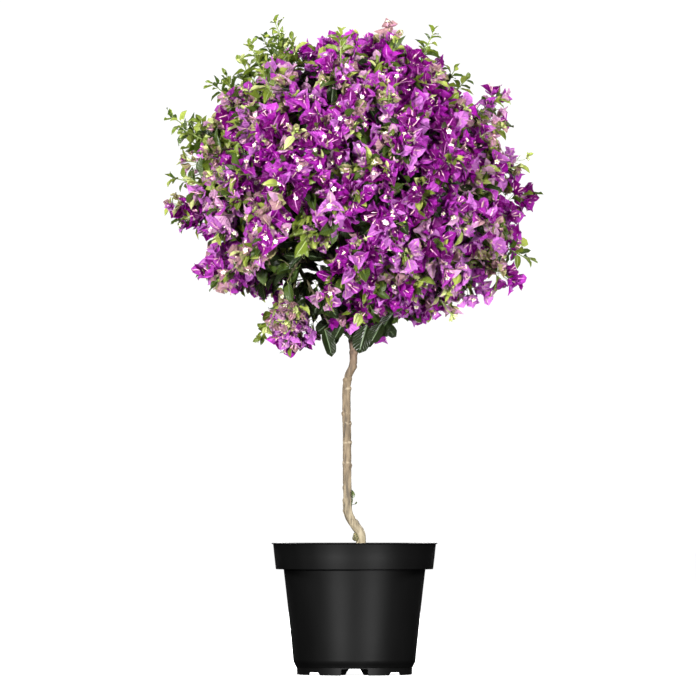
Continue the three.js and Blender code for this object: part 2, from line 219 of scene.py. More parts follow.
class Heap:
    """Many small triangle meshes gathered into one."""

    def __init__(self):
        self.points, self.faces, self.uvs, self.count = [], [], [], 0

    def add(self, points, faces, uvs):
        self.points.append(points)
        self.faces.append(faces + self.count)
        self.uvs.append(uvs)
        self.count += len(points)

    def add_limb(self, path, thick, thin, sides):
        """Adds a round limb along a path, from one radius to another in millimetres."""
        self.add(*tube(path, np.linspace(thick, thin, len(path)) * MM, sides))

    def place(self, template, at, along, normal, length, width):
        """Adds a template with its y along a direction and its z as near as can be to a normal."""
        side = unit(np.cross(along, normal))
        normal = np.cross(side, along)
        x, y, z = (template.points * (width, length, length)).T
        spot = at + x[:, None] * side + y[:, None] * along + z[:, None] * normal
        self.add(spot, template.faces, template.uvs)

    def place_blade(self, ribs, blade, at, along, normal, length, width):
        self.place(blade.body, at, along, normal, length, width)
        ribs.place(blade.rib, at, along, normal, length, width)

    def build(self, name, material, smooth=True):
        points, faces, uvs = (np.vstack(rows) for rows in (self.points, self.faces, self.uvs))
        return mesh_object(name, points, faces, uvs, material, smooth)


def grid_faces(rows, columns, closed):
    """Triangles between rows of points; closed where each row runs round."""
    span = columns if closed else columns - 1
    j, i = np.meshgrid(np.arange(rows - 1), np.arange(span), indexing="ij")
    a = (j * columns + i).ravel()
    b = (j * columns + (i + 1) % columns).ravel()
    c, d = b + columns, a + columns
    return np.vstack([np.stack([a, b, c], 1), np.stack([a, c, d], 1)])


def tube(path, radii, sides):
    """A round limb along a path, closed at its tip: points, triangles and uvs."""
    path, radii = np.asarray(path, float), np.asarray(radii, float)
    tangents = np.gradient(path, axis=0)
    side, _ = square_to(tangents[0])
    turn = np.linspace(0, 2 * pi, sides, endpoint=False)
    rings, uvs = [], []
    run = np.concatenate([[0], np.cumsum(np.linalg.norm(np.diff(path, axis=0), axis=1))])
    for k, (at, radius) in enumerate(zip(path, radii)):
        tangent = unit(tangents[k])
        side = unit(side - tangent * np.dot(side, tangent))
        other = np.cross(tangent, side)
        rings.append(at + radius * (np.cos(turn)[:, None] * side + np.sin(turn)[:, None] * other))
        uvs.append(np.stack([turn / (2 * pi), np.full(sides, run[k] * 20)], 1))
    points = np.vstack(rings + [path[-1:] + unit(tangents[-1]) * radii[-1] * 0.6])
    uvs = np.vstack(uvs + [[[0.5, run[-1] * 20]]])
    last = (len(path) - 1) * sides
    fan = [[last + i, last + (i + 1) % sides, len(points) - 1] for i in range(sides)]
    return points, np.vstack([grid_faces(len(path), sides, True), fan]), uvs


class Part:
    """Some triangles of a template, with only the points that they use."""

    def __init__(self, points, faces, uvs):
        used, compact = np.unique(np.asarray(faces).ravel(), return_inverse=True)
        self.points, self.uvs = np.asarray(points, float)[used], np.asarray(uvs, float)[used]
        self.faces = compact.reshape(-1, 3)


class Blade:
    """A thin blade, one long and one wide, in a body and a midrib: x across, y along, z off its face."""

    def __init__(self, shoulder, point, rows, fold, curl, cup, wave, phase, twist, rib=0.075, neck=0.04):
        widest = shoulder / (shoulder + point)
        points, uvs = [], []
        for j in range(rows):
            t = (j / rows) ** 0.92
            half = 0.5 * (t / widest) ** shoulder * ((1 - t) / (1 - widest)) ** point
            half = max(half, neck)
            narrow = min(0.6, rib * (1.5 - t) * 0.3 / half + 0.02)
            turn = twist * (t - 0.3)
            for u in (-1, -narrow, narrow, 1):
                x = u * half
                z = fold * abs(x) - curl * t**2 + cup * (2 * x) ** 2
                z += wave * abs(u) * sin(2.6 * pi * t + phase + 1.6 * u) * half
                turned = x * cos(turn) - z * sin(turn), z * cos(turn) + x * sin(turn)
                points.append([turned[0], t, turned[1]])
                uvs.append([0.5 + x, t])
        points.append([0, 1, -curl])
        uvs.append([0.5, 1])
        faces, ribs = [], []
        for j in range(rows):
            for i in range(3):
                a = 4 * j + i
                if j == rows - 1:
                    faces.append([a, a + 1, len(points) - 1])
                else:
                    (ribs if i == 1 else faces).extend([[a, a + 1, a + 5], [a, a + 5, a + 4]])
        self.body, self.rib = Part(points, faces, uvs), Part(points, ribs, uvs)


class Prism:
    """A thin stalk, one long and of radius one, that swells and narrows by a list of radii."""

    def __init__(self, radii=(1, 1), sides=4):
        path = np.stack([np.zeros(len(radii)), np.linspace(0, 1, len(radii)), np.zeros(len(radii))], 1)
        self.points, self.faces, self.uvs = tube(path, radii, sides)
        self.points[:, 1] = np.clip(self.points[:, 1], 0, 1)

    def put(self, heap, at, along, length, radius):
        side, other = square_to(along)
        x, y, z = self.points.T
        spot = at + radius * (x[:, None] * side + z[:, None] * other) + length * y[:, None] * along
        heap.add(spot, self.faces, self.uvs)


class Star:
    """A flower's flared mouth seen from above: five notched lobes of radius one round a small eye."""

    def __init__(self):
        points, uvs = [[0, 0, -0.35]], [[0.5, 0.5]]
        shape = ((0.40, 0.0), (0.96, 0.05), (1.0, -0.02), (0.96, 0.05))
        count = 5 * len(shape)
        for k in range(count):
            turn = 2 * pi * k / count
            radius, lift = shape[k % len(shape)]
            points.append([radius * cos(turn), radius * sin(turn), lift])
            uvs.append([0.5 + 0.5 * radius * cos(turn), 0.5 + 0.5 * radius * sin(turn)])
        self.petals = Part(points, [[0, 1 + k, 1 + (k + 1) % count] for k in range(count)], uvs)
        ring = [[0.34 * cos(a), 0.34 * sin(a), -0.02] for a in (0, 1.257, 2.513, 3.77, 5.027)]
        fan = [[0, 1 + k, 1 + (k + 1) % 5] for k in range(5)]
        self.eye = Part([[0, 0, 0.16]] + ring, fan, [[0.5, 0.5]] * 6)

    def put(self, petals, eyes, at, along, radius, turn):
        side = around(along, turn)
        other = np.cross(along, side)
        for heap, part in ((petals, self.petals), (eyes, self.eye)):
            x, y, z = part.points.T * radius
            spot = at + x[:, None] * side + y[:, None] * other + z[:, None] * along
            heap.add(spot, part.faces, part.uvs)


# ---------------------------------------------------------------- the plan, as in the part's source

# The stem from the soil up through the head: x, y, z and radius in millimetres.
TRUNK_STATIONS = [
    (10, 0, 170.3, 9.2), (10, 0, 178, 7.2), (9.8, 0, 190, 6.7), (8.4, -0.5, 204, 6.5),
    (2.4, -1, 213, 6.3), (-5.2, -1, 224, 6.1), (-9.8, -1, 236, 6.2), (-10.2, 0, 262, 5.8),
    (-10.7, 1, 312, 5.7), (-11.4, 0.5, 375, 5.7), (-11.2, -0.5, 415, 5.6), (-8.6, -1, 433, 5.3),
    (-2.8, -1, 446, 5.2), (-1.4, -0.5, 464, 5.1), (-3, 0, 492, 5.5), (-4.5, 0, 560, 5.6),
    (-6, 0, 650, 4.6), (-6, 0, 782, 3.6),
]
# The head: its middle, and its reach to the front and the back.
CENTRE = np.array([-6, 0, 705]) * MM
DEPTH = 254 * MM
# The head's reach every ten degrees, seen from the front, from the right upwards.
OUTLINE = [
    256, 258, 242, 250, 224, 236, 248, 244, 236, 230, 234, 228, 254, 248, 250, 248, 276, 264,
    260, 266, 232, 246, 250, 220, 254, 260, 252, 248, 242, 216, 226, 232, 256, 268, 276, 254,
]
# How much further the head reaches over a mass than between two, at the front and the back.
SWELL = 0.08
# Rings of masses: elevation in degrees, the masses' distance from the middle as a share of the
# depth, the way back to where the bough comes in, the elevation of its approach, the height of its
# foot on the trunk, and the masses' places.
RINGS = {
    "top": (90, 0.56, 0, 90, 0, [""]),
    "upper": (43, 0.58, 60, 43, 636, ["_right", "_back", "_left", "_front"]),
    "middle": (
        -2, 0.58, 68, 5, 572,
        ["_right", "_back_right", "_back_left", "_left", "_front_left", "_front_right"],
    ),
    "lower": (
        -50, 0.58, 46, -20, 514,
        ["_right", "_back_right", "_back_left", "_front_left", "_front_right"],
    ),
}
# How far apart the boughs of one ring leave the trunk, in millimetres.
BOUGH_STAGGER = 9
BOUGH_RADII = (4.4 * MM, 3.2 * MM)
MAIN_TWIGS = 120
# Main twigs that reach past the crown: angle as seen from the front, and reach in millimetres.
LONG_SHOOTS = [(10, 262), (341, 266), (160, 278), (186, 262), (246, 262)]

trunk_path = through([s[:3] for s in TRUNK_STATIONS], 24) * MM


def trunk_point(z):
    """The point of the stem's curve that is nearest to a height."""
    return trunk_path[np.argmin(np.abs(trunk_path[:, 2] - z))]


def trunk_radius(z):
    return np.interp(z, [s[2] * MM for s in TRUNK_STATIONS], [s[3] * MM for s in TRUNK_STATIONS])


def outline_reach(angle):
    """The head's reach at an angle in the plane seen from the front, in radians."""
    place = (angle / (2 * pi) % 1) * len(OUTLINE)
    before = int(place) % len(OUTLINE)
    return lerp(OUTLINE[before], OUTLINE[(before + 1) % len(OUTLINE)], place - int(place)) * MM


def plain_reach(d):
    """The reach of the plain egg shape in a direction."""
    return 1 / hypot(hypot(d[0], d[2]) / outline_reach(atan2(d[2], d[0])), d[1] / DEPTH)


def plan_masses():
    """The masses of the head, with the directions and points that their boughs need."""
    masses = []
    for ring, (elevation, share, back, approach, foot, places) in RINGS.items():
        for i, place in enumerate(places):
            azimuth = 360 / len(places) * i
            outward, inwards = direction(azimuth, elevation), direction(azimuth, approach)
            middle = CENTRE + outward * share * DEPTH
            entry = trunk_path[-1] if ring == "top" else middle - inwards * back * MM
            masses.append(
                {
                    "name": ring + place,
                    "azimuth": azimuth,
                    "outward": outward,
                    "inwards": inwards,
                    "middle": middle,
                    "entry": entry,
                    "foot": (foot + BOUGH_STAGGER * (2 * i % len(places))) * MM,
                }
            )
    return masses


masses = plan_masses()
middles = np.array([mass["middle"] for mass in masses])
outwards = np.array([mass["outward"] for mass in masses])


def nearest_mass(point):
    return masses[np.argmin(np.linalg.norm(middles - point, axis=1))]


def crown_reach(d):
    """The head's reach in a direction, swollen a little over each mass."""
    swell = smoothstep(np.max(outwards @ d), cos(0.6), 1) - 0.5
    return plain_reach(d) * (1 + SWELL * swell * abs(d[1]))


def spiral(count, index, offset=0.0):
    """The direction of one of a number of points spread evenly over a ball."""
    z = 1 - (2 * index + 1) / count
    across = sqrt(1 - z * z)
    turn = index * GOLDEN_ANGLE + offset
    return np.array([cos(turn) * across, sin(turn) * across, z])


def main_twigs():
    """The twigs of the part's source, from each mass's middle almost to the crown's surface."""
    ends = []
    for i in range(MAIN_TWIGS):
        d = spiral(MAIN_TWIGS, i)
        ends.append((d, crown_reach(d) * (1 - 0.03 * noise(i, 2))))
    ends += [(direction(0, angle), reach * MM) for angle, reach in LONG_SHOOTS]
    twigs = []
    for d, reach in ends:
        tip = CENTRE + d * reach
        mass = nearest_mass(tip)
        heading = unit(unit(tip - mass["middle"]) + d)
        end = tip - heading * 40 * MM
        bend = lerp(mass["middle"], end, 0.6) - heading * 8 * MM
        twigs.append({"mass": mass, "path": bezier([mass["middle"], bend, end], 10), "d": d})
    return twigs


# ---------------------------------------------------------------- materials


def new_material(name):
    """A new material, its node tree and its main shader."""
    material = bpy.data.materials.new(name)
    material.use_nodes = True
    return material, material.node_tree, material.node_tree.nodes["Principled BSDF"]


def set_sockets(tree, node, sockets):
    """Sets a node's sockets to values, or links them where a value is another node's output."""
    for socket, value in sockets.items():
        if isinstance(value, bpy.types.NodeSocket):
            tree.links.new(value, node.inputs[socket])
        else:
            node.inputs[socket].default_value = value


def add_node(tree, kind, sockets=None, **settings):
    node = tree.nodes.new("ShaderNode" + kind)
    for setting, value in settings.items():
        setattr(node, setting, value)
    set_sockets(tree, node, sockets or {})
    return node


def maths(tree, operation, a, b=0.5):
    return add_node(tree, "Math", {0: a, 1: b}, operation=operation).outputs["Value"]


def map_range(tree, value, **limits):
    """A value carried from one range to another; a limit's name says which end it sets."""
    sockets = {limit.replace("_", " ").title(): end for limit, end in limits.items()}
    return add_node(tree, "MapRange", {"Value": value, **sockets}).outputs["Result"]


def add_noise(tree, scale, detail=3.0, stretch=(1, 1, 1)):
    """A noise texture in object space, stretched along the axes."""
    place = add_node(tree, "TexCoord").outputs["Object"]
    place = add_node(tree, "Mapping", {"Vector": place, "Scale": stretch}).outputs["Vector"]
    sockets = {"Vector": place, "Scale": scale, "Detail": detail}
    return add_node(tree, "TexNoise", sockets).outputs["Fac"]


def add_ramp(tree, source, stops):
    ramp = add_node(tree, "ValToRGB", {"Fac": source})
    while len(ramp.color_ramp.elements) < len(stops):
        ramp.color_ramp.elements.new(0.5)
    for element, (position, colour) in zip(ramp.color_ramp.elements, stops):
        element.position = position
        element.color = (*colour, 1)
    return ramp.outputs["Color"]


def add_mix(tree, share, a, b, blend="MIX"):
    """Two colours mixed by a share; blend says how."""
    sockets = {"Factor": share, 6: a, 7: b}
    return add_node(tree, "Mix", sockets, data_type="RGBA", blend_type=blend).outputs[2]


def add_bump(tree, shader, height, strength, distance):
    sockets = {"Strength": strength, "Distance": distance * MM, "Height": height}
    set_sockets(tree, shader, {"Normal": add_node(tree, "Bump", sockets).outputs["Normal"]})


def add_veins(tree, count, slant):
    """A height from 0 to 1 with a groove along a blade's midrib and slanting side veins."""
    parts = add_node(tree, "SeparateXYZ", {"Vector": add_node(tree, "UVMap").outputs["UV"]}).outputs
    off_middle = maths(tree, "ABSOLUTE", maths(tree, "SUBTRACT", parts["X"], 0.5))
    along = maths(tree, "SUBTRACT", parts["Y"], maths(tree, "MULTIPLY", off_middle, slant))
    ripple = maths(tree, "SINE", maths(tree, "MULTIPLY", along, pi * count))
    side_veins = maths(tree, "POWER", maths(tree, "ABSOLUTE", ripple), 0.5)
    return maths(tree, "MINIMUM", maths(tree, "MULTIPLY", off_middle, 9), side_veins)


def blade_material(name, colour, glow, roughness, sheer, vein_strength, shine):
    """A thin blade: light passes through it, by a share called sheer, in its glow colour."""
    material, tree, shader = new_material(name)
    surface = {"Base Color": srgb(*colour) + (1,), "Roughness": roughness, "Specular IOR Level": shine}
    set_sockets(tree, shader, surface)
    add_bump(tree, shader, add_veins(tree, 7, 0.9), vein_strength, 1.6)
    through_it = add_node(tree, "BsdfTranslucent", {"Color": srgb(*glow) + (1,)})
    both = {"Fac": sheer, 1: shader.outputs["BSDF"], 2: through_it.outputs["BSDF"]}
    mixed = add_node(tree, "MixShader", both).outputs["Shader"]
    set_sockets(tree, tree.nodes["Material Output"], {"Surface": mixed})
    return material


def plain_material(name, stops, roughness, scale, bump=0.3):
    """A solid surface whose colour and relief follow a fine noise."""
    material, tree, shader = new_material(name)
    source = add_noise(tree, scale, 4)
    set_sockets(tree, shader, {"Base Color": add_ramp(tree, source, stops), "Roughness": roughness})
    add_bump(tree, shader, source, bump, 0.5)
    return material


# Bract tints: the colour of the face and the colour of the light that passes through.
BRACT_TINTS = {
    "deep": ((98, 2, 92), (160, 6, 152)),
    "rich": ((136, 16, 136), (190, 28, 190)),
    "bright": ((162, 54, 164), (206, 80, 208)),
    "lilac": ((184, 106, 188), (214, 130, 214)),
    "pale": ((190, 142, 178), (214, 166, 194)),
    "faded": ((160, 122, 128), (190, 150, 144)),
    "young": ((156, 150, 104), (192, 186, 122)),
}
# The tints that a bract may take instead of its trio's.
NEIGHBOURS = {
    "deep": ["rich", "bright"],
    "rich": ["deep", "lilac"],
    "bright": ["deep", "lilac"],
    "lilac": ["bright", "pale"],
    "pale": ["bright", "faded"],
    "faded": ["pale", "young"],
    "young": ["faded", "pale"],
}
# Leaf tints, face and light through; the dark tint, darker than old leaves' own green, also paints shade
# inside and under the head.
LEAF_TINTS = {
    "dark": ((24, 33, 13), (48, 68, 18)),
    "deep": ((56, 73, 24), (92, 118, 30)),
    "mid": ((94, 110, 36), (136, 156, 46)),
    "light": ((142, 155, 70), (178, 193, 84)),
    "young": ((182, 190, 122), (208, 218, 138)),
}
BRACT_RIB_TINTS = {"pink": (192, 116, 180), "green": (188, 168, 140)}
LEAF_RIB_TINTS = {"pale": (136, 150, 88), "dark": (64, 84, 46)}


# ---------------------------------------------------------------- pot and soil

POT_SEGMENTS = 144
RING_RADIUS = 48
WALL = 2.2
# The pot's outside from its foot to its lip: radius and height in millimetres.
POT_OUTSIDE = [
    (83.0, 0.0), (83.8, 11.0), (84.9, 11.5), (85.5, 13.2), (86.3, 15.4), (88.0, 18.2), (88.5, 22.0),
    (91.8, 56.0), (95.4, 90.0), (99.0, 122.0), (102.2, 149.5), (102.5, 151.4), (103.2, 152.0),
    (112.9, 152.0), (113.7, 152.5), (113.9, 153.6), (115.8, 170.0), (117.6, 187.0), (117.9, 188.2),
    (119.2, 188.4), (119.9, 188.8), (120.0, 189.3), (119.8, 189.8), (119.2, 190.0), (116.2, 190.0),
    (115.6, 189.4),
]
POT_INSIDE = [(111.6, 154.3), (100.4, 154.2), (99.9, 153.4), (85.8, 18.4), (83.2, 13.4), (0, 13.2)]
POT_UNDERSIDE = [
    (0, 11), (RING_RADIUS - WALL, 11), (RING_RADIUS - WALL, 0), (RING_RADIUS, 0), (RING_RADIUS, 11),
    (81.6, 11), (80.8, 0),
]
# Openings through the foot: width, height, slope of their sides, how far off the pot's axis they
# start and end, and where they stand round it.
NOTCHES = [
    (40, 9.7, 1, 66, 95, (0, 180)),
    (28, 9.7, 6, 42, 66.5, (0, 180)),
    (26, 4.4, 3, 66, 95, (45, 135, 225, 315)),
]
NOTCH_BEVEL = 1.2
SOIL_LEVEL = 170 * MM
SOIL_EDGE = 111.9 * MM


def lathe(name, profile, segments, material):
    """A turned body from a closed profile of radius and height in millimetres."""
    turn = np.linspace(0, 2 * pi, segments, endpoint=False)
    points, starts = [], []
    for radius, z in profile:
        starts.append(len(points))
        for a in turn[: 1 if radius == 0 else segments]:
            points.append((radius * cos(a) * MM, radius * sin(a) * MM, z * MM))
    faces = []
    for k, (a, b) in enumerate(zip(starts, starts[1:])):
        for i in range(segments):
            j = (i + 1) % segments
            if profile[k][0] == 0:
                faces.append((a, b + j, b + i))
            elif profile[k + 1][0] == 0:
                faces.append((a + i, a + j, b))
            else:
                faces.append((a + i, a + j, b + j, b + i))
    return listed_object(name, points, faces, material)


def foot_cutters(material):
    """One object of all the prisms that open the foot, each widest at the ground."""
    points, faces = [], []
    for width, height, slope, near, far, turns in NOTCHES:
        top = width / 2 - slope
        right = [(width / 2, -1), (top, height - NOTCH_BEVEL), (top - NOTCH_BEVEL, height)]
        outline = [(-width / 2, -1)] + right + [(-x, z) for x, z in right[:0:-1]]
        count = len(outline)
        for turn in turns:
            c, s = cos(radians(turn)), sin(radians(turn))
            start = len(points)
            for y in (-near, -far):
                points += [((x * c - y * s) * MM, (x * s + y * c) * MM, z * MM) for x, z in outline]
            ends = list(range(start, start + count)), list(range(start + count, start + 2 * count))
            faces += [ends[0][::-1], ends[1]]
            for i in range(count):
                j = (i + 1) % count
                faces.append([ends[0][i], ends[0][j], ends[1][j], ends[1][i]])
    return listed_object("foot_cutters", points, faces, material)


def pot_material():
    """Black moulded plastic: satin, with faint flow bands and a fine dust of scuffs."""
    material, tree, shader = new_material("pot_plastic")
    scuffs = add_noise(tree, 22, 6, (1, 1, 0.25))
    surface = {
        "Base Color": add_ramp(tree, scuffs, [(0.35, srgb(1, 1, 1)), (0.7, srgb(3, 3, 3))]),
        "Roughness": map_range(tree, scuffs, to_min=0.40, to_max=0.50),
        "Specular IOR Level": 0.12,
    }
    set_sockets(tree, shader, surface)
    add_bump(tree, shader, add_noise(tree, 900, 2), 0.12, 0.2)
    return material


def build_pot():
    """The pot as one turned wall from its foot to its lip and back, with its foot cut open."""
    material = pot_material()
    pot = lathe("pot_shell", POT_UNDERSIDE + POT_OUTSIDE + POT_INSIDE, POT_SEGMENTS, material)
    cutters = foot_cutters(material)
    cut = pot.modifiers.new("notches", "BOOLEAN")
    cut.operation = "DIFFERENCE"
    cut.object = cutters
    cut.solver = "EXACT"
    cut.use_self = True
    solved = pot.evaluated_get(bpy.context.evaluated_depsgraph_get())
    mesh = bpy.data.meshes.new_from_object(solved)
    pot.modifiers.clear()
    pot.data = mesh
    bpy.data.objects.remove(cutters)
    mesh.polygons.foreach_set("use_smooth", np.ones(len(mesh.polygons), bool))
    mesh.set_sharp_from_angle(angle=radians(32))
    as_piece(pot, "pot", "pot")


def build_soil():
    """Crumbly potting mix, a little higher round the stem, inside the pot's band."""
    rings, spokes = 46, 150
    points, uvs = [], []
    for k in range(rings + 1):
        radius = SOIL_EDGE * k / rings
        for i in range(spokes):
            a = 2 * pi * i / spokes
            x, y = radius * cos(a), radius * sin(a)
            rough = sin(x * 310 + 1.7 * sin(y * 250)) * sin(y * 280 + 1.3 * sin(x * 330))
            crumb = min(max(rng.normal(0, 0.9) * (k > 0), -1.6), 1.6)
            z = SOIL_LEVEL + (crumb + 1.1 * rough - 4.0 * (k / rings) ** 2) * MM
            points.append((x, y, z if k < rings else SOIL_LEVEL - 5 * MM))
            uvs.append((x * 10, y * 10))
    faces = grid_faces(rings + 1, spokes, True)[:, ::-1]
    stops = [(0.3, srgb(22, 16, 12)), (0.5, srgb(48, 36, 27)), (0.72, srgb(82, 64, 48))]
    material = plain_material("soil_mix", stops, 0.95, 420, 0.9)
    as_piece(mesh_object("soil_surface", points, faces, uvs, material), "potting_mix", "soil")


# ---------------------------------------------------------------- trunk and boughs

# Leaf scars and nodes up the stem: height in millimetres, side from the right in degrees,
# swelling in millimetres, and how far round it runs in radians.
NODES_ON_TRUNK = [
    (302, 0, 1.1, 3.2), (306, 180, 0.9, 0.9), (252, 180, 0.8, 0.8), (270, 180, 1.0, 0.7),
    (335, -20, 1.3, 0.9), (363, 0, 1.4, 0.8), (377, 180, 1.5, 0.8), (413, 0, 1.4, 0.8),
    (426, 200, 1.2, 3.2), (444, 10, 1.2, 0.8), (465, -60, 1.3, 3.2), (482, 190, 1.1, 0.8),
    (221, 20, 1.0, 0.8), (236, 150, 0.8, 0.8),
]
# The heights of the scars that show as pale rings.
PALE_RINGS = (306, 335, 363, 377, 413, 444, 482)
# The bark's colours from the soil to well inside the head, by their share of that height; the dark end
# inside the head is painted shade from the head over the bark's browner tone.
BARK_BOTTOM, BARK_TOP = 170 * MM, 520 * MM
BARK_TINTS_AND_HEAD_SHADE = [
    (0.0, srgb(132, 124, 100)),
    (0.10, srgb(136, 128, 108)),
    (0.22, srgb(126, 116, 96)),
    (0.36, srgb(112, 99, 80)),
    (0.74, srgb(110, 96, 76)),
    (0.84, srgb(94, 76, 62)),
    (1.0, srgb(70, 57, 44)),
]
# The cut knob low on the stem: a curve's points and the radii along it, in millimetres.
KNOB = [(3.2, -1.5, 193), (3.2, -1.5, 199), (0.2, -2.5, 204)]
KNOB_RADII = [3.6, 5.2, 5.8, 5.9, 5.6, 5.0, 4.2, 3.2, 1.8]


def bark_material():
    """Thin tan bark, silvery on the low bend and browner towards the head, darkened inside the head by
    painted shade, with fine streaks.
    """
    material, tree, shader = new_material("bark")
    place = add_node(tree, "TexCoord").outputs["Object"]
    height = add_node(tree, "SeparateXYZ", {"Vector": place}).outputs["Z"]
    share = map_range(tree, height, from_min=BARK_BOTTOM, from_max=BARK_TOP)
    streaks = add_noise(tree, 260, 5, (1, 1, 0.16))
    shades = [(0.34, srgb(104, 94, 80)), (0.5, srgb(206, 198, 186)), (0.66, srgb(255, 252, 246))]
    # The height ramp carries the painted shade inside the head.
    streaked = add_mix(
        tree, 0.85, add_ramp(tree, share, BARK_TINTS_AND_HEAD_SHADE), add_ramp(tree, streaks, shades), "MULTIPLY"
    )
    none, some, full = ((level,) * 3 for level in (0, 0.7, 1))
    rings = [(0.0, none)]
    for z in PALE_RINGS:
        at = (z * MM - BARK_BOTTOM) / (BARK_TOP - BARK_BOTTOM)
        rings += [(at - 0.006, none), (at, some), (at + 0.006, none)]
    patches = add_ramp(tree, add_noise(tree, 240, 2), [(0.48, none), (0.60, full)])
    scarred = maths(tree, "MULTIPLY", add_ramp(tree, share, rings), patches)
    colour = add_mix(tree, scarred, streaked, srgb(152, 140, 118) + (1,))
    set_sockets(tree, shader, {"Base Color": colour, "Roughness": 0.78})
    add_bump(tree, shader, streaks, 0.8, 1.2)
    return material


def bark_relief(z, side):
    """How far the bark stands out, in millimetres, at a height in metres and a side in degrees."""
    turn = radians(side)
    grow = 0.22 * sin(3 * turn + z * 60) + 0.16 * sin(5 * turn - z * 140)
    grow += 0.12 * sin(7 * turn + z * 420)
    for height, facing, swell, reach in NODES_ON_TRUNK:
        above = z / MM - height
        away = radians((side - facing + 180) % 360 - 180)
        band = exp(-((away / reach) ** 2))
        node, groove = exp(-((above / 2.8) ** 2)), exp(-(((above - 4) / 1.2) ** 2))
        grow += swell * band * (node - 0.45 * groove)
    return grow


def build_trunk(material):
    """The stem along the part's own curve, with swollen nodes, scars and grooves."""
    sides, steps = 22, 42
    path = through([s[:3] for s in TRUNK_STATIONS], steps) * MM
    path = path[path[:, 2] > 160 * MM]
    points, faces, uvs = tube(path, [trunk_radius(p[2]) * 1.07 for p in path], sides)
    for k, centre in enumerate(path):
        for i in range(k * sides, (k + 1) * sides):
            out = points[i] - centre
            grow = bark_relief(points[i][2], degrees(atan2(out[1], out[0])))
            points[i] = centre + out * (1 + grow * MM / max(np.linalg.norm(out), 1e-6))
    as_piece(mesh_object("trunk_bark", points, faces, uvs, material), "bark", "trunk")


def build_knob():
    """The rough scar of a cut-off sucker."""
    points, faces, uvs = tube(bezier(np.array(KNOB) * MM, 8), np.array(KNOB_RADII) * MM, 18)
    middle = points.mean(axis=0)
    points = middle + (points - middle) * (1 + rng.uniform(-0.11, 0.11, (len(points), 1)))
    stops = [(0.32, srgb(26, 28, 12)), (0.5, srgb(62, 60, 30)), (0.68, srgb(122, 112, 78))]
    material = plain_material("knob_bark", stops, 0.85, 520, 0.8)
    as_piece(mesh_object("trunk_knob", points, faces, uvs, material), "bark", "trunk")


def build_boughs(material):
    """Boughs from the stem to each mass's middle, in the bark whose height ramp paints them darker inside
    the head as shade.
    """
    heap, names, steps = Heap(), [], 26
    for mass in masses:
        entry, inner_radii = mass["entry"], (3.4, 2.8)
        if mass["name"] != "top":
            foot = trunk_point(mass["foot"])
            reach = np.linalg.norm(entry - foot)
            leaves = foot + direction(mass["azimuth"], 52) * reach * 0.5
            arrives = entry - mass["inwards"] * reach * 0.3
            path = bezier([foot, leaves, arrives, entry], steps)
            for k in range(steps + 1):
                path[k] += 0.9 * MM * around(mass["inwards"], 0.9 * k) * sin(pi * k / steps)
            lumps = 1 + 0.07 * np.sin(np.arange(steps + 1) * 1.9)
            heap.add(*tube(path, np.linspace(*BOUGH_RADII, steps + 1) * lumps, 12))
            names.append("bough_" + mass["name"])
            inner_radii = (3.1, 2.6)
        inner = bezier([entry, (entry + mass["middle"]) / 2, mass["middle"]], 6)
        heap.add_limb(inner, *inner_radii, 8)
    as_piece(heap.build("bough_bark", material), "bark", *names)


# ---------------------------------------------------------------- the head's templates

# Each blade's fold, curl, cup, wave, the wave's phase, and twist.
BRACTS = [
    Blade(0.66, 0.88, 5, *shape)
    for shape in (
        (0.30, 0.18, 0.05, 0.34, 0.0, 0.3),
        (0.52, 0.12, 0.00, 0.30, 2.1, -0.5),
        (0.20, 0.34, 0.10, 0.42, 4.0, 0.6),
        (0.38, -0.10, 0.04, 0.36, 1.2, -0.2),
        (0.72, 0.16, 0.00, 0.22, 5.1, 0.4),
        (0.26, 0.04, 0.16, 0.44, 3.0, -0.7),
        (0.44, 0.42, 0.02, 0.30, 5.8, 0.2),
        (0.18, -0.24, 0.18, 0.38, 0.9, 0.5),
        (0.60, 0.28, -0.06, 0.34, 2.7, -0.4),
        (0.34, 0.10, 0.12, 0.46, 4.7, 0.8),
        (0.84, 0.06, 0.00, 0.24, 0.5, -0.3),
    )
]
LEAVES = [
    Blade(0.58, 0.66, 5, *shape)
    for shape in (
        (0.24, 0.24, 0.02, 0.10, 0.4, 0.2),
        (0.38, 0.34, 0.00, 0.08, 2.6, -0.3),
        (0.14, 0.12, 0.08, 0.16, 4.4, 0.4),
        (0.30, 0.46, 0.02, 0.12, 1.4, -0.5),
        (0.50, 0.20, 0.00, 0.08, 5.4, 0.3),
        (0.20, -0.10, 0.10, 0.18, 3.2, -0.2),
    )
]
ROUND_LEAF = Blade(0.46, 0.42, 7, 0.16, 0.16, 0.02, 0.06, 1.0, 0.1)
STALK = Prism((1, 0.8), 3)
FLOWER_TUBE = Prism((0.8, 1.1), 3)
BUD = Prism((0.6, 1.15, 0.5), 4)
STAR = Star()

# ---------------------------------------------------------------- the head's places

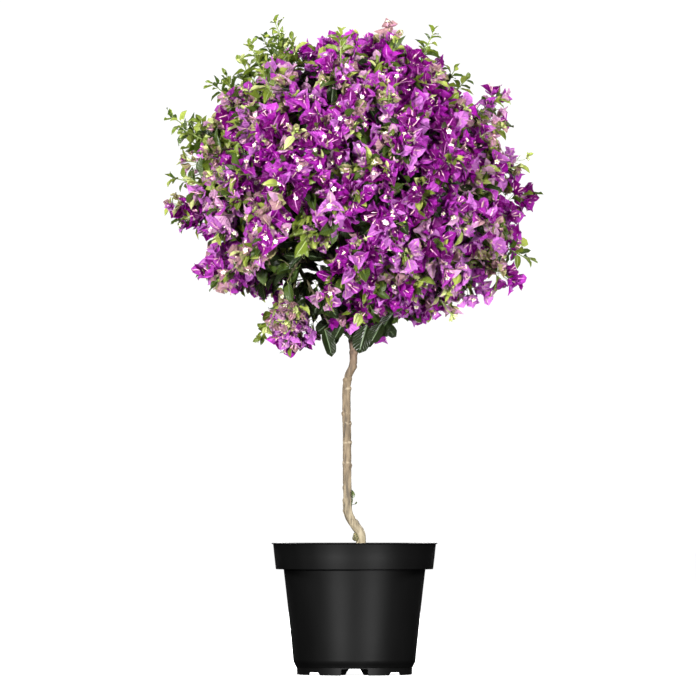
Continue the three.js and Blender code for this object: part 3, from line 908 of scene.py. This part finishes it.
# Soft round spots as seen from the front, in millimetres: x, z and reach. They hold young green
# growth, half-open blossom, and pale and deep blossom; the deep spots also paint shade in the
# head's hollows with deep purple bracts.
LEAFY_SPOTS = [
    (-118, 905, 52), (-180, 840, 42), (-235, 765, 40), (-255, 700, 35), (-195, 735, 30),
    (115, 905, 26), (140, 865, 34), (175, 840, 34), (200, 800, 22), (-90, 735, 20), (20, 750, 22),
    (115, 630, 24), (-100, 660, 18), (175, 600, 16), (-62, 655, 24), (-55, 612, 16),
    (-170, 620, 26), (-235, 665, 30), (70, 910, 20), (40, 845, 20), (85, 830, 20), (210, 770, 20),
    (190, 700, 22), (60, 610, 18),
]
YOUNG_SPOTS = [
    (-150, 810, 50), (20, 750, 40), (0, 790, 30), (105, 635, 35), (180, 600, 35), (100, 810, 30),
    (200, 745, 40), (235, 790, 30), (-190, 680, 40), (0, 830, 25), (235, 710, 25),
    (-120, 850, 35), (60, 700, 25), (-20, 600, 30), (-100, 600, 35),
]
LILAC_SPOTS = [
    (-115, 800, 30), (-225, 650, 50), (-165, 570, 45), (-90, 500, 70), (190, 550, 50),
    (-60, 660, 40), (20, 630, 30), (30, 900, 20), (80, 550, 50), (170, 670, 40),
]
# Deep purple bracts here are partly the blossom's own deep tint and partly painted shade in hollows.
DEEP_TINT_AND_PAINTED_SHADE_SPOTS = [
    (20, 900, 70), (70, 880, 80), (-35, 900, 50), (-45, 860, 40), (110, 790, 60), (150, 720, 45),
    (225, 680, 35), (60, 660, 50), (100, 580, 50), (-140, 710, 40), (0, 560, 40), (-70, 780, 60),
    (40, 740, 50), (-90, 720, 40),
]
# Openings where dark leaves, twigs and specks of sky show, the large ones low on the left: x, z
# and half sizes in millimetres, as seen from the front. The leaves put there are very dark to
# paint the shade in the openings.
WINDOWS = [
    (-66, 574, 40, 40), (-125, 554, 24, 18), (-46, 524, 33, 44), (-92, 556, 50, 18),
    (-68, 877, 20, 28), (-48, 826, 28, 18), (-73, 790, 20, 18), (-135, 722, 22, 20),
    (-228, 735, 14, 14), (41, 688, 18, 18), (150, 688, 18, 12), (90, 770, 16, 14),
    (-79, 628, 11, 30), (-35, 602, 22, 20),
]
# Chinks where the sky shows right through the head, in the same form.
CHINKS = [
    (-57, 566, 1, 4), (-71, 586, 2, 2), (-43, 556, 1, 3), (-98, 572, 2, 1), (-185, 690, 3, 3),
    (-58, 516, 2, 4), (-120, 538, 4, 3), (245, 745, 5, 6), (-66, 552, 1, 3), (-80, 570, 1, 2),
    (-50, 596, 1, 2), (-196, 672, 1, 2),
]
# Shoots that stand out of the head's outline: tip x, y and z in millimetres, and their kind.
OUTLYING = [
    (-118, 0, 928, "shoot"), (-108, -25, 905, "leafy"), (-142, -30, 893, "leafy"),
    (-92, -15, 912, "leafy"), (-165, -20, 880, "leafy"), (-128, -45, 878, "leafy"),
    (-185, -30, 850, "leafy"), (-245, -15, 770, "leafy"), (-115, -20, 946, "shoot"),
    (-151, -40, 912, "shoot"), (-133, 10, 925, "shoot"), (-100, 30, 915, "shoot"),
    (-207, -10, 857, "shoot"), (-188, 20, 872, "shoot"), (-266, 10, 812, "shoot"),
    (-252, -30, 790, "shoot"), (114, -10, 932, "shoot"), (104, 20, 905, "shoot"),
    (147, -20, 878, "shoot"), (163, 25, 866, "shoot"), (208, -10, 842, "shoot"),
    (218, 20, 815, "bloom"), (262, 0, 748, "bloom"), (250, -25, 735, "young"),
    (258, 5, 600, "shoot"), (262, 15, 690, "bloom"), (240, -20, 560, "bloom"),
    (-277, 0, 678, "young"), (-268, 20, 722, "shoot"), (-256, -15, 745, "young"),
    (-262, 10, 655, "bloom"), (-214, -20, 590, "bloom"), (-222, 10, 575, "bloom"),
    (-205, 0, 560, "bloom"), (-128, -30, 497, "bud"), (-140, 10, 486, "shoot"),
    (-110, -20, 478, "bloom"), (-95, -35, 468, "bloom"), (-70, -20, 474, "bloom"),
    (57, 0, 944, "bloom"), (-30, 10, 925, "bloom"), (-55, -10, 918, "bloom"),
    (25, 20, 925, "bloom"), (134, -15, 543, "young"), (112, 0, 516, "bloom"),
    (143, -10, 517, "bud"), (222, 0, 840, "bloom"), (150, 10, 525, "bloom"),
    (190, -15, 540, "bloom"), (85, 0, 515, "bloom"),
]
# The head's lower edge as seen from the front: x and z in millimetres.
LOW_EDGE = [
    (-300, 650), (-280, 640), (-250, 632), (-222, 612), (-217, 575), (-200, 548), (-173, 533),
    (-150, 548), (-134, 541), (-122, 500), (-110, 480), (-95, 466), (-70, 474), (-48, 480),
    (-30, 488), (0, 492), (20, 490), (45, 494), (62, 504), (80, 512), (95, 507), (122, 512),
    (150, 525), (180, 530), (200, 535), (215, 545), (226, 572), (250, 590), (300, 605),
]
# Old leaves that hang where the stem enters the head: base, point and width in millimetres.
ENTRY_LEAVES = [
    ((-43, -46, 497), (-31, -52, 459), 20), ((-16, -44, 506), (-30, -50, 484), 17),
    ((18, -50, 503), (5, -56, 464), 27), ((56, -52, 520), (30, -60, 486), 19),
    ((34, -40, 512), (48, -46, 488), 18), ((-28, -30, 512), (-56, -36, 494), 20),
    ((12, 34, 505), (26, 44, 474), 24), ((-20, 36, 506), (-38, 48, 478), 22),
    ((36, 10, 508), (62, 12, 490), 20), ((2, -36, 512), (-8, -46, 484), 20),
    ((40, -58, 506), (22, -66, 478), 22),
]
edge_x, edge_z = (np.array(LOW_EDGE) * MM).T
chinks = (np.array(CHINKS) * MM).tolist()


def sprays_round_about():
    """More places like those of OUTLYING, at the front, sides and back of the head."""
    places, count = [], 46
    for i in range(count):
        d = spiral(count, i, 1.3)
        if abs(d[1]) < 0.35 or d[2] < -0.75:
            continue
        tip = (CENTRE + d * crown_reach(d) * (1.02 + 0.05 * noise(i, 5))) / MM
        places.append((*tip, ("bloom", "shoot", "young", "bloom", "leafy")[i % 5]))
    return places


def above_low_edge(tip, spare):
    """The tip, drawn back towards the head's centre until a spray on it clears the lower edge."""
    for _ in range(6):
        lowest = np.interp(tip[0], edge_x, edge_z) + spare
        if tip[2] >= lowest or tip[2] >= CENTRE[2] - 40 * MM:
            break
        tip = CENTRE + (tip - CENTRE) * (lowest - CENTRE[2]) / (tip[2] - CENTRE[2])
    return tip


def crosses_chink(at, along, length, spare):
    """True where a blade would hide a chink from the camera."""
    for t in (0.1, 0.35, 0.6, 0.85):
        point = at + along * t * length
        near = -CAMERA_AT[1] / (point[1] - CAMERA_AT[1])
        x, z = point[0] * near, CAMERA_AT[2] + (point[2] - CAMERA_AT[2]) * near
        if any(abs(x - cx) < across + spare and abs(z - cz) < up + spare for cx, cz, across, up in chinks):
            return True
    return False


def greenness(point):
    """How leafy the head is at a place: more at the far left and low on the left."""
    if point[1] > 0.1:
        return 0.4
    far_left = smoothstep(-point[0], 0.10, 0.18)
    low_left = smoothstep(-point[0], -0.02, 0.06) * smoothstep(-point[2], -0.68, -0.60)
    return float(max(0.10, 0.95 * far_left, 0.85 * low_left))


def thin_place(point):
    """True by chance in the thin part of the head, low on the left."""
    return -0.21 < point[0] < -0.015 and 0.49 < point[2] < 0.635 and rng.random() < 0.34


def window_depth(point):
    """Below one inside the shaded openings as seen from the front."""
    x, z, across, up = (np.array(WINDOWS) * MM).T
    return np.hypot((point[0] - x) / across, (point[2] - z) / up).min()


def strongest(spots, point):
    """How near a point is to the nearest of some spots, from 0 to 1."""
    x, z, reach = (np.array(spots) * MM).T
    return float(np.exp(-((point[0] - x) ** 2 + (point[2] - z) ** 2) / reach**2).max())


def pick(weights):
    """A key picked by its weight."""
    share = np.array(list(weights.values()), float)
    return list(weights)[rng.choice(len(weights), p=share / share.sum())]


def bract_tint(point):
    """The tint of one spray's bracts, by its place, deep purple in part painting shade in the hollows."""
    lilac, deep = strongest(LILAC_SPOTS, point), strongest(DEEP_TINT_AND_PAINTED_SHADE_SPOTS, point)
    young = strongest(YOUNG_SPOTS, point)
    soft = 1 - 0.7 * deep
    return pick(
        {
            "deep": 0.40 * (1 - lilac) + 2.2 * deep * (1 - 0.8 * lilac),
            "rich": 0.85 + 1.1 * deep,
            "bright": 0.6,
            "lilac": 0.5 * soft + 2.0 * lilac,
            "pale": 0.32 * soft + 0.7 * lilac + 0.5 * young,
            "faded": 0.6 * soft + 0.8 * young,
        }
    )


# ---------------------------------------------------------------- the head's sprays

bract_heaps = {tint: Heap() for tint in BRACT_TINTS}
leaf_heaps = {tint: Heap() for tint in LEAF_TINTS}
bract_ribs = {tint: Heap() for tint in BRACT_RIB_TINTS}
leaf_ribs = {tint: Heap() for tint in LEAF_RIB_TINTS}
twig_heap, shoot_heap, star_heap, eye_heap, tube_heap, bud_heap = (Heap() for _ in range(6))

# Shares of tints in a spray: strange tints among its bracts, a young spray's bracts, and leaves.
OTHER_BRACTS = {
    "deep": 0.6, "rich": 0.9, "bright": 0.6, "lilac": 0.5, "pale": 0.4, "faded": 0.7, "young": 0.4,
}
YOUNG_BRACTS = {"young": 0.5, "faded": 1.1, "pale": 0.8, "lilac": 0.3}
FRESH_LEAVES = {"light": 1, "young": 0.9, "mid": 0.5}
TINY_LEAVES = {"young": 1.3, "light": 1.0, "mid": 0.3}
SHOOT_LEAVES = {"deep": 0.9, "mid": 1.3, "light": 0.3}
TWIG_LEAVES = {"deep": 1, "dark": 0.8, "mid": 0.5}
# Old and hollow leaves lean to the dark tint, which paints the shade inside the head.
PAINTED_SHADE_OLD_LEAVES = {"dark": 1.9, "deep": 0.6}
PAINTED_SHADE_HOLLOW_LEAVES = {"dark": 1.2, "deep": 1.1, "mid": 0.5}
# How many bracts keep their trio's tint, and how many carry a closed flower.
OWN_TINT_SHARE = 0.64
CLOSED_FLOWER_SHARE = 0.72


def tilt(axis, spread):
    """An axis turned a random amount, up to about the spread in radians."""
    return unit(axis + around(axis, rng.uniform(0, 2 * pi)) * tan(spread * sqrt(rng.random())))


def put_stalk(heap, start, end, radius):
    run = end - start
    STALK.put(heap, start, unit(run), np.linalg.norm(run), radius * MM)


def put_leaf(tint, at, along, length, petiole=0.22):
    """A leaf with its petiole, its face turned up and out from the head."""
    root = at
    at = at + along * length * petiole
    if crosses_chink(at, along, length, 0.1 * length):
        return
    put_stalk(shoot_heap, root, at, 0.5)
    face = unit(0.65 * UP + 0.75 * unit(at - CENTRE) + rng.normal(0, 0.35, 3))
    blade_along = unit(along - 0.25 * UP + rng.normal(0, 0.16, 3))
    blade = LEAVES[rng.integers(len(LEAVES))]
    wide = length * rng.uniform(0.42, 0.58)
    ribs = leaf_ribs["dark" if tint in ("dark", "deep") else "pale"]
    leaf_heaps[tint].place_blade(ribs, blade, at, blade_along, face, length, wide)


def put_trio(tint, at, axis, length, openness, mature):
    """Three bracts round an axis, with a flower on the midrib of each: one may be open."""
    turn = rng.uniform(0, 2 * pi)
    in_flower = rng.integers(3) if rng.random() < mature else -1
    ribs = bract_ribs["pink" if tint in ("deep", "rich", "bright") or rng.random() < 0.3 else "green"]
    for k in range(3):
        radial = around(axis, turn + 2 * pi * k / 3 + rng.normal(0, 0.14))
        opening = openness * rng.uniform(0.6, 1.35)
        along = axis * cos(opening) + radial * sin(opening)
        face = unit(axis * sin(opening) - radial * cos(opening) + rng.normal(0, 0.16, 3))
        size = length * rng.uniform(0.85, 1.12)
        shade = tint if rng.random() < OWN_TINT_SHARE else NEIGHBOURS[tint][rng.integers(2)]
        size *= 0.84 if shade in ("pale", "faded", "young") else 1
        if crosses_chink(at, along, size, 0.16 * size):
            continue
        blade = BRACTS[rng.integers(len(BRACTS))]
        bract_heaps[shade].place_blade(ribs, blade, at, along, face, size, size * rng.uniform(0.58, 0.8))
        foot = at + along * size * 0.12 + face * 0.6 * MM
        rise = unit(axis + radial * 0.30)
        flower = size * rng.uniform(0.5, 0.66)
        if k == in_flower:
            mouth = foot + rise * (flower + 0.6 * MM)
            FLOWER_TUBE.put(tube_heap, foot, rise, flower, 0.9 * MM)
            STAR.put(star_heap, eye_heap, mouth, rise, rng.uniform(3.3, 4.0) * MM, rng.uniform(0, 6))
        elif rng.random() < CLOSED_FLOWER_SHARE:
            FLOWER_TUBE.put(tube_heap, foot, rise, flower * rng.uniform(0.7, 1.2), 0.8 * MM)


def put_bud_cluster(at, axis):
    """A few pale green buds at a spray's tip."""
    for _ in range(rng.integers(3, 6)):
        along = tilt(axis, 0.7)
        put_stalk(shoot_heap, at, at + along * 4 * MM, 0.45)
        BUD.put(bud_heap, at + along * 3 * MM, along, rng.uniform(5, 8) * MM, rng.uniform(1.2, 1.8) * MM)


def put_fresh_tip(at, axis, count=8):
    """A rosette of tiny pale leaflets where a shoot goes on growing."""
    for k in range(count):
        lean = 0.35 + 0.9 * sqrt(k / count)
        along = unit(axis + around(axis, k * GOLDEN_ANGLE) * tan(lean) + rng.normal(0, 0.12, 3))
        shade = pick(TINY_LEAVES)
        face = unit(axis - along * float(axis @ along) + rng.normal(0, 0.15, 3))
        length = rng.uniform(6, 12) * MM
        if crosses_chink(at, along, length, 0.1 * length):
            continue
        blade = LEAVES[rng.integers(len(LEAVES))]
        root = at - axis * rng.uniform(0, 5) * MM
        wide = length * rng.uniform(0.4, 0.55)
        leaf_heaps[shade].place_blade(leaf_ribs["pale"], blade, root, along, face, length, wide)


# Each kind of spray takes its tip, the way its twig heads, the way out of the head, and a size.


def bloom_spray(tip, heading, outward, scale):
    """Trios of bracts on short stalks round a twig's tip, with a few leaves below them."""
    tint = bract_tint(tip)
    pure = 0.82 if tint in ("deep", "lilac") else 0.58
    mature = 0.25 + 0.5 * (rng.random() < 0.4)
    face = unit(heading + 0.9 * outward + 0.25 * UP)
    count = int(rng.integers(6, 10) * scale)
    for k in range(count):
        lean = min(0.25 + 0.95 * sqrt((k + 0.3) / count), 1.25)
        axis = unit(face + around(face, k * GOLDEN_ANGLE + tip[0] * 900) * tan(lean))
        root = tip - heading * (3 + 3.6 * k) * MM * scale * rng.uniform(0.7, 1.2)
        end = root + axis * rng.uniform(9, 17) * MM * scale
        put_stalk(shoot_heap, root, end, 0.5)
        size = rng.uniform(20, 29) * MM * scale
        use = tint if rng.random() < pure else pick(OTHER_BRACTS)
        put_trio(use, end, tilt(axis, 0.6), size, rng.uniform(0.34, 1.0), mature)
    if rng.random() < 0.3:
        put_fresh_tip(tip + face * rng.uniform(10, 18) * MM, tilt(face, 0.5))
    green = greenness(tip)
    shades = {"mid": 1.0, "light": 0.45 + 0.5 * green, "deep": 1.0, "young": 0.15}
    for _ in range(2 + int(rng.random() < 0.6) + int(rng.random() < green) * 3):
        along = tilt(unit(heading + 1.5 * outward), 0.9)
        shade = pick(shades)
        at = tip + heading * rng.uniform(-22, 8) * MM
        put_leaf(shade, at, along, rng.uniform(18, 29) * MM * scale)


def young_spray(tip, heading, outward, scale):
    """Small half-shut bracts, pink to green, round pale buds, above small fresh leaves."""
    face = unit(heading + outward + 0.3 * UP)
    count = rng.integers(5, 8)
    for k in range(count):
        axis = unit(face + around(face, k * GOLDEN_ANGLE) * tan(0.2 + 0.9 * sqrt(k / count)))
        root = tip - heading * 3 * k * MM
        end = root + axis * rng.uniform(6, 13) * MM
        put_stalk(shoot_heap, root, end, 0.5)
        size = rng.uniform(12, 20) * MM * scale
        put_trio(pick(YOUNG_BRACTS), end, axis, size, rng.uniform(0.18, 0.45), 0.02)
    put_bud_cluster(tip + face * 6 * MM, face)
    put_fresh_tip(tip + face * 12 * MM, tilt(face, 0.3), 11)
    for k in range(rng.integers(2, 5)):
        along = tilt(face, 1.2)
        put_leaf(pick(FRESH_LEAVES), tip - heading * 5 * k * MM, along, rng.uniform(14, 24) * MM)


def leafy_spray(tip, heading, outward, scale):
    """A green shoot: leaves in turn along it that grow smaller and lighter towards its tip."""
    base = tip - heading * 46 * MM * scale
    bend = unit(heading + 0.5 * UP)
    middle, end = base + heading * 25 * MM * scale, base + (heading * 22 + bend * 27) * MM * scale
    path = bezier([base, middle, end], 8)
    shoot_heap.add_limb(path, 1.0, 0.45, 4)
    turn = rng.uniform(0, 6)
    for k in range(10):
        t = (k + 0.6) / 10
        place = int(t * 8)
        at = path[min(place + 1, 8)]
        ahead = unit(at - path[max(place - 1, 0)])
        along = unit(ahead * (0.55 + 0.9 * t) + around(ahead, turn + k * 2.4) * (1.1 - 0.5 * t))
        size = (32 - 19 * t) * MM * scale * rng.uniform(0.85, 1.15)
        shade = pick({"deep": 0.3 + 0.6 * (1 - t), "mid": 1.2, "light": 0.25 + 0.9 * t, "young": 0.45 * t})
        put_leaf(shade, at, along, size, 0.16)


def slender_shoot(tip, heading, outward, scale):
    """A thin young shoot with pairs of small pointed leaves, standing out of the head."""
    base = tip - heading * 66 * MM * scale
    rise = unit(heading + 0.4 * UP + rng.normal(0, 0.15, 3))
    path = bezier([base, base + heading * 36 * MM * scale, tip - rise * 6 * MM], 12)
    shoot_heap.add_limb(path, 1.2, 0.6, 4)
    turn = rng.uniform(0, 3)
    for k in range(6):
        t = (k + 1) / 6
        spot = 2 * k + 2
        ahead = unit(path[spot] - path[spot - 2])
        for half in (0, pi):
            along = unit(ahead * (0.25 + 0.7 * t) + around(ahead, turn + 1.5 * k + half) + 0.15 * UP)
            size = (31 - 15 * t) * MM * scale * rng.uniform(0.75, 1.2)
            put_leaf(pick(SHOOT_LEAVES), path[spot] - ahead * rng.uniform(0, 5) * MM, along, size, 0.14)
    put_leaf("mid", path[-1], rise, 15 * MM * scale, 0.1)


def bud_spray(tip, heading, outward, scale):
    """A green bud cluster on a bare shoot."""
    path = bezier([tip - heading * 30 * MM, tip - heading * 14 * MM - UP * 4 * MM, tip], 6)
    shoot_heap.add_limb(path, 0.9, 0.5, 4)
    put_bud_cluster(tip - heading * 4 * MM, heading)
    put_leaf("light", tip - heading * 10 * MM, tilt(heading, 0.8), 14 * MM)
    put_leaf("young", tip - heading * 6 * MM, tilt(heading, 0.8), 11 * MM)


def dark_spray(tip, heading, count, shades=PAINTED_SHADE_OLD_LEAVES):
    """Old glossy leaves in the head's shade, tinted dark enough to paint that shade."""
    for k in range(count):
        at = tip - heading * 8 * k * MM
        put_leaf(pick(shades), at, tilt(unit(heading - 0.2 * UP), 1.2), rng.uniform(24, 36) * MM)


SPRAYS = {
    "bloom": bloom_spray,
    "young": young_spray,
    "leafy": leafy_spray,
    "shoot": slender_shoot,
    "bud": bud_spray,
}


def spray_kind(tip):
    """What grows at a tip, by its place in the head."""
    leafy, young = strongest(LEAFY_SPOTS, tip), strongest(YOUNG_SPOTS, tip)
    if window_depth(tip) < 1.0 and tip[1] < 0.12:
        return "dark"
    bloom = max(0.04, 1.0 - 1.1 * leafy)
    green = 0.08 + 0.14 * greenness(tip) + 1.15 * leafy
    return pick({"bloom": bloom, "young": 0.13 + 0.6 * young, "leafy": green})


# ---------------------------------------------------------------- the head's twigs

OUTER_TIPS = 640
INNER_TIPS = 300
SPRAY_DEPTH = 27 * MM
# How wide a main twig's clump of sprays is, in radians, and how far the head drops at its edge.
CLUMP_ANGLE = 0.17
CLUMP_DROP = 0.18


def fine_twig(tip, d, main, thick):
    """A twig from the nearest main twig of its mass to a tip, and the way it heads at its end."""
    mass = nearest_mass(tip)
    best, start, lead = 1e9, None, None
    for twig in main:
        if twig["mass"] is not mass:
            continue
        for k in range(4, 9):
            gap = np.linalg.norm(twig["path"][k] - tip)
            if gap < best:
                best, start = gap, twig["path"][k]
                lead = unit(twig["path"][k + 1] - twig["path"][k - 1])
    if start is None:
        start, lead = mass["middle"], mass["outward"]
        best = np.linalg.norm(start - tip)
    heading = unit(0.55 * unit(tip - start) + 0.6 * d + 0.18 * UP + rng.normal(0, 0.12, 3))
    path = bezier([start, start + lead * best * 0.35, tip - heading * best * 0.3, tip], 7)
    twig_heap.add_limb(path, thick, thick * 0.45, 4)
    return path, heading


def grow_outer_sprays(main):
    """The sprays that make the head's surface, drawn together into a clump round each main twig."""
    heads = np.array([twig["d"] for twig in main])
    for i in range(OUTER_TIPS):
        d = unit(spiral(OUTER_TIPS, i, 0.7) + rng.normal(0, 0.022, 3))
        clump = heads[np.argmax(heads @ d)]
        off_clump = acos(min(1, float(clump @ d))) / CLUMP_ANGLE
        d = unit(lerp(d, clump, 0.34))
        reach = (crown_reach(d) - SPRAY_DEPTH) * (1 - CLUMP_DROP * min(off_clump, 1.3) ** 2)
        tip = above_low_edge(CENTRE + d * reach * (1 - 0.05 * rng.random()), 20 * MM)
        if thin_place(tip):
            continue
        kind = spray_kind(tip)
        # Between clumps, dark leaves take the place of blossom and paint the shade of the gaps.
        if kind == "bloom" and off_clump > 0.86 and rng.random() < 0.7:
            _, heading = fine_twig(tip, d, main, 1.4)
            dark_spray(tip, heading, 4, PAINTED_SHADE_HOLLOW_LEAVES)
            continue
        if kind == "dark":
            tip = CENTRE + d * reach * rng.uniform(0.76, 0.92)
            if rng.random() < 0.12:
                continue
        path, heading = fine_twig(tip, d, main, 1.4)
        # In an opening, very dark leaves paint the shade that shows there.
        if kind == "dark":
            dark_spray(tip, heading, 6)
            continue
        SPRAYS[kind](tip, heading, d, rng.uniform(0.9, 1.08))
        for k in (3, 5):
            if rng.random() < 0.35 + 0.35 * greenness(tip):
                along = tilt(unit(path[k + 1] - path[k]), 1.1)
                put_leaf(pick(TWIG_LEAVES), path[k], along, rng.uniform(22, 32) * MM)


def grow_inner_sprays(main):
    """Blossom and old leaves a little inside the head's surface, the dark leaves painting the shade
    within.
    """
    for i in range(INNER_TIPS):
        d = unit(spiral(INNER_TIPS, i, 2.1) + rng.normal(0, 0.03, 3))
        tip = above_low_edge(CENTRE + d * (crown_reach(d) * rng.uniform(0.72, 0.84) - 10 * MM), 34 * MM)
        if thin_place(tip):
            continue
        opening = window_depth(tip) < 1.15
        if opening and rng.random() < 0.25:
            continue
        _, heading = fine_twig(tip, d, main, 1.6)
        if not opening and rng.random() < 0.45:
            bloom_spray(tip, heading, d, 0.95)
        else:
            dark_spray(tip, heading, 5)


def grow_outlying_sprays(main):
    for x, y, z, kind in OUTLYING + sprays_round_about():
        tip = np.array([x, y, z]) * MM
        d = unit(tip - CENTRE)
        foot = tip - d * (22 * MM if kind in ("bloom", "young") else 0)
        path, heading = fine_twig(foot - d * 30 * MM, d, main, 1.2)
        heading = unit(d + 0.25 * UP * (z > 640) + rng.normal(0, 0.06, 3))
        put_stalk(shoot_heap, path[-1], foot - heading * 20 * MM, 0.9)
        SPRAYS[kind](foot, heading, d, 0.9)


def hang_entry_leaves():
    """The old leaves round the stem where it enters the head, in the dark tint that also paints the shade
    under the head.
    """
    for base, point, width in ENTRY_LEAVES:
        base, point = np.array(base) * MM, np.array(point) * MM
        root = trunk_point(base[2] + 16 * MM)
        twig_heap.add_limb(bezier([root, lerp(root, base, 0.5) + UP * 6 * MM, base], 6), 1.2, 0.7, 5)
        run = point - base
        face = unit([0.25 * np.sign(run[0]), -1, 0.35])
        length = np.linalg.norm(run)
        leaf_heaps["dark"].place_blade(
            leaf_ribs["dark"], ROUND_LEAF, base, run / length, face, length, width * MM
        )


def grow_head():
    """Main twigs, then all that they carry."""
    main = main_twigs()
    for twig in main:
        twig_heap.add_limb(twig["path"], 2.4, 1.3, 6)
    grow_outer_sprays(main)
    grow_inner_sprays(main)
    grow_outlying_sprays(main)
    hang_entry_leaves()


# Pieces in two shades: heap, piece, slot, material, the shades, roughness and fineness of grain.
SHADED_PIECES = [
    (eye_heap, "star_eyes", "blossom", "star_eye", (140, 150, 56), (184, 184, 88), 0.6, 300),
    (twig_heap, "twigs", "foliage", "twig_bark", (44, 40, 24), (80, 74, 46), 0.8, 300),
    (shoot_heap, "shoots", "foliage", "green_shoot", (96, 122, 52), (140, 150, 86), 0.6, 300),
    (star_heap, "stars", "blossom", "star_white", (232, 228, 200), (246, 243, 224), 0.5, 900),
    (tube_heap, "flower_tubes", "blossom", "flower_tube", (200, 128, 170), (226, 188, 186), 0.5, 300),
    (bud_heap, "buds", "foliage", "bud_green", (168, 182, 104), (214, 214, 150), 0.5, 300),
]


def shaded_material(name, dark, light, roughness, scale):
    return plain_material(name, [(0.3, srgb(*dark)), (0.7, srgb(*light))], roughness, scale)


def build_head():
    """The head's sprays, joined into one piece for each kind and tint."""
    grow_head()
    names = [name for name in NODES if name.startswith("foliage_")]
    for tint, heap in bract_heaps.items():
        material = blade_material("bract_" + tint, *BRACT_TINTS[tint], 0.42, 0.24, 1.0, 0.3)
        as_piece(heap.build("bracts_" + tint, material, False), "blossom", *names)
    for tint, heap in leaf_heaps.items():
        shine = 0.28 if tint == "dark" else 0.42
        material = blade_material("leaf_" + tint, *LEAF_TINTS[tint], 0.28, 0.2, 0.6, shine)
        as_piece(heap.build("leaves_" + tint, material), "foliage", *names)
    for tint, heap in bract_ribs.items():
        colour = BRACT_RIB_TINTS[tint]
        material = blade_material("bract_rib_" + tint, colour, colour, 0.55, 0.2, 0.2, 0.5)
        as_piece(heap.build("bract_ribs_" + tint, material), "blossom", *names)
    for tint, heap in leaf_ribs.items():
        colour = LEAF_RIB_TINTS[tint]
        material = blade_material("leaf_rib_" + tint, colour, colour, 0.5, 0.15, 0.2, 0.5)
        as_piece(heap.build("leaf_ribs_" + tint, material), "foliage", *names)
    for heap, piece, slot, name, *look in SHADED_PIECES:
        as_piece(heap.build(piece, shaded_material(name, *look)), slot, *names)


def build_trunk_shoot():
    """One upright young leaf and a thin stalk with a bud, on the stem's right."""
    heap = Heap()
    root = trunk_point(245 * MM) + np.array([5, -2.5, 0]) * MM
    top = root + np.array([2.5, -1.2, 9]) * MM
    bend = (root + top) / 2 + np.array([1.6, 0, 0]) * MM
    heap.add_limb(bezier([root, bend, top], 6), 1.1, 0.7, 8)
    along, face = unit([0.05, -0.05, 1]), unit([0.5, -0.85, 0.1])
    heap.place_blade(heap, LEAVES[1], top, along, face, 14 * MM, 6.2 * MM)
    bud = root + np.array([6.5, -1, 1.5]) * MM
    put_stalk(heap, root, bud, 0.5)
    BUD.put(heap, bud, unit([0.6, 0, 0.8]), 4 * MM, 1.3 * MM)
    material = shaded_material("trunk_shoot_green", (30, 40, 10), (62, 74, 20), 0.45, 200)
    as_piece(heap.build("trunk_shoot_leaf", material), "foliage", "trunk_shoot")


# ---------------------------------------------------------------- the studio

FLOOR_RADIUS = 40
BACKDROP_RADIUS = 39
# Where the even part of the light comes from: the front.
SOFT_LIGHT_FROM = (0.0, -1.0, -0.06)
# Its strength, by how far a direction lies towards that side.
SOFT_LIGHT_FALLOFF = {"from_min": 0.18, "from_max": 0.5, "to_min": 0.006, "to_max": 0.38}


def add_stage(name, points, faces, material):
    """A part of the studio that is only seen: it casts no shadow and no light."""
    stage = listed_object(name, points, faces, material)
    stage.visible_diffuse = stage.visible_glossy = stage.visible_transmission = False
    stage.visible_shadow = False


def build_studio():
    """A pale floor and a white backdrop all round, under lamps at the front, the sides and the back."""
    spokes, rings, lowest = 96, 24, -0.05
    turns = [2 * pi * k / spokes for k in range(spokes)]
    floor_material, tree, shader = new_material("floor_white")
    white = (1, 1, 1, 1)
    surface = {"Base Color": (0.85, 0.85, 0.85, 1), "Roughness": 0.9, "Emission Color": white}
    set_sockets(tree, shader, {**surface, "Emission Strength": 0.93})
    rim = [(FLOOR_RADIUS * cos(a), FLOOR_RADIUS * sin(a), 0) for a in turns]
    add_stage("floor", rim, [list(range(spokes))], floor_material)

    dome = []
    for k in range(rings):
        rise = lowest + (pi / 2 - lowest) * k / (rings - 1)
        across, z = BACKDROP_RADIUS * cos(rise), BACKDROP_RADIUS * sin(rise)
        dome += [(across * cos(a), across * sin(a), z) for a in turns]
    backdrop_material, tree, _ = new_material("backdrop_white")
    glow = add_node(tree, "Emission", {"Strength": 1.05}).outputs["Emission"]
    set_sockets(tree, tree.nodes["Material Output"], {"Surface": glow})
    add_stage("backdrop", dome, grid_faces(rings, spokes, True).tolist(), backdrop_material)

    world = bpy.data.worlds.new("world")
    bpy.context.scene.world = world
    world.use_nodes = True
    tree = world.node_tree
    place = add_node(tree, "TexCoord").outputs["Generated"]
    facing = add_node(tree, "VectorMath", {0: place, 1: SOFT_LIGHT_FROM}, operation="DOT_PRODUCT")
    strength = map_range(tree, facing.outputs["Value"], **SOFT_LIGHT_FALLOFF)
    set_sockets(tree, tree.nodes["Background"], {"Color": white, "Strength": strength})
    add_lamps()
    bpy.context.scene.view_settings.view_transform = "Standard"


add_camera()
build_studio()
bark = bark_material()
build_pot()
build_soil()
build_knob()
build_trunk(bark)
build_boughs(bark)
build_trunk_shoot()
build_head()
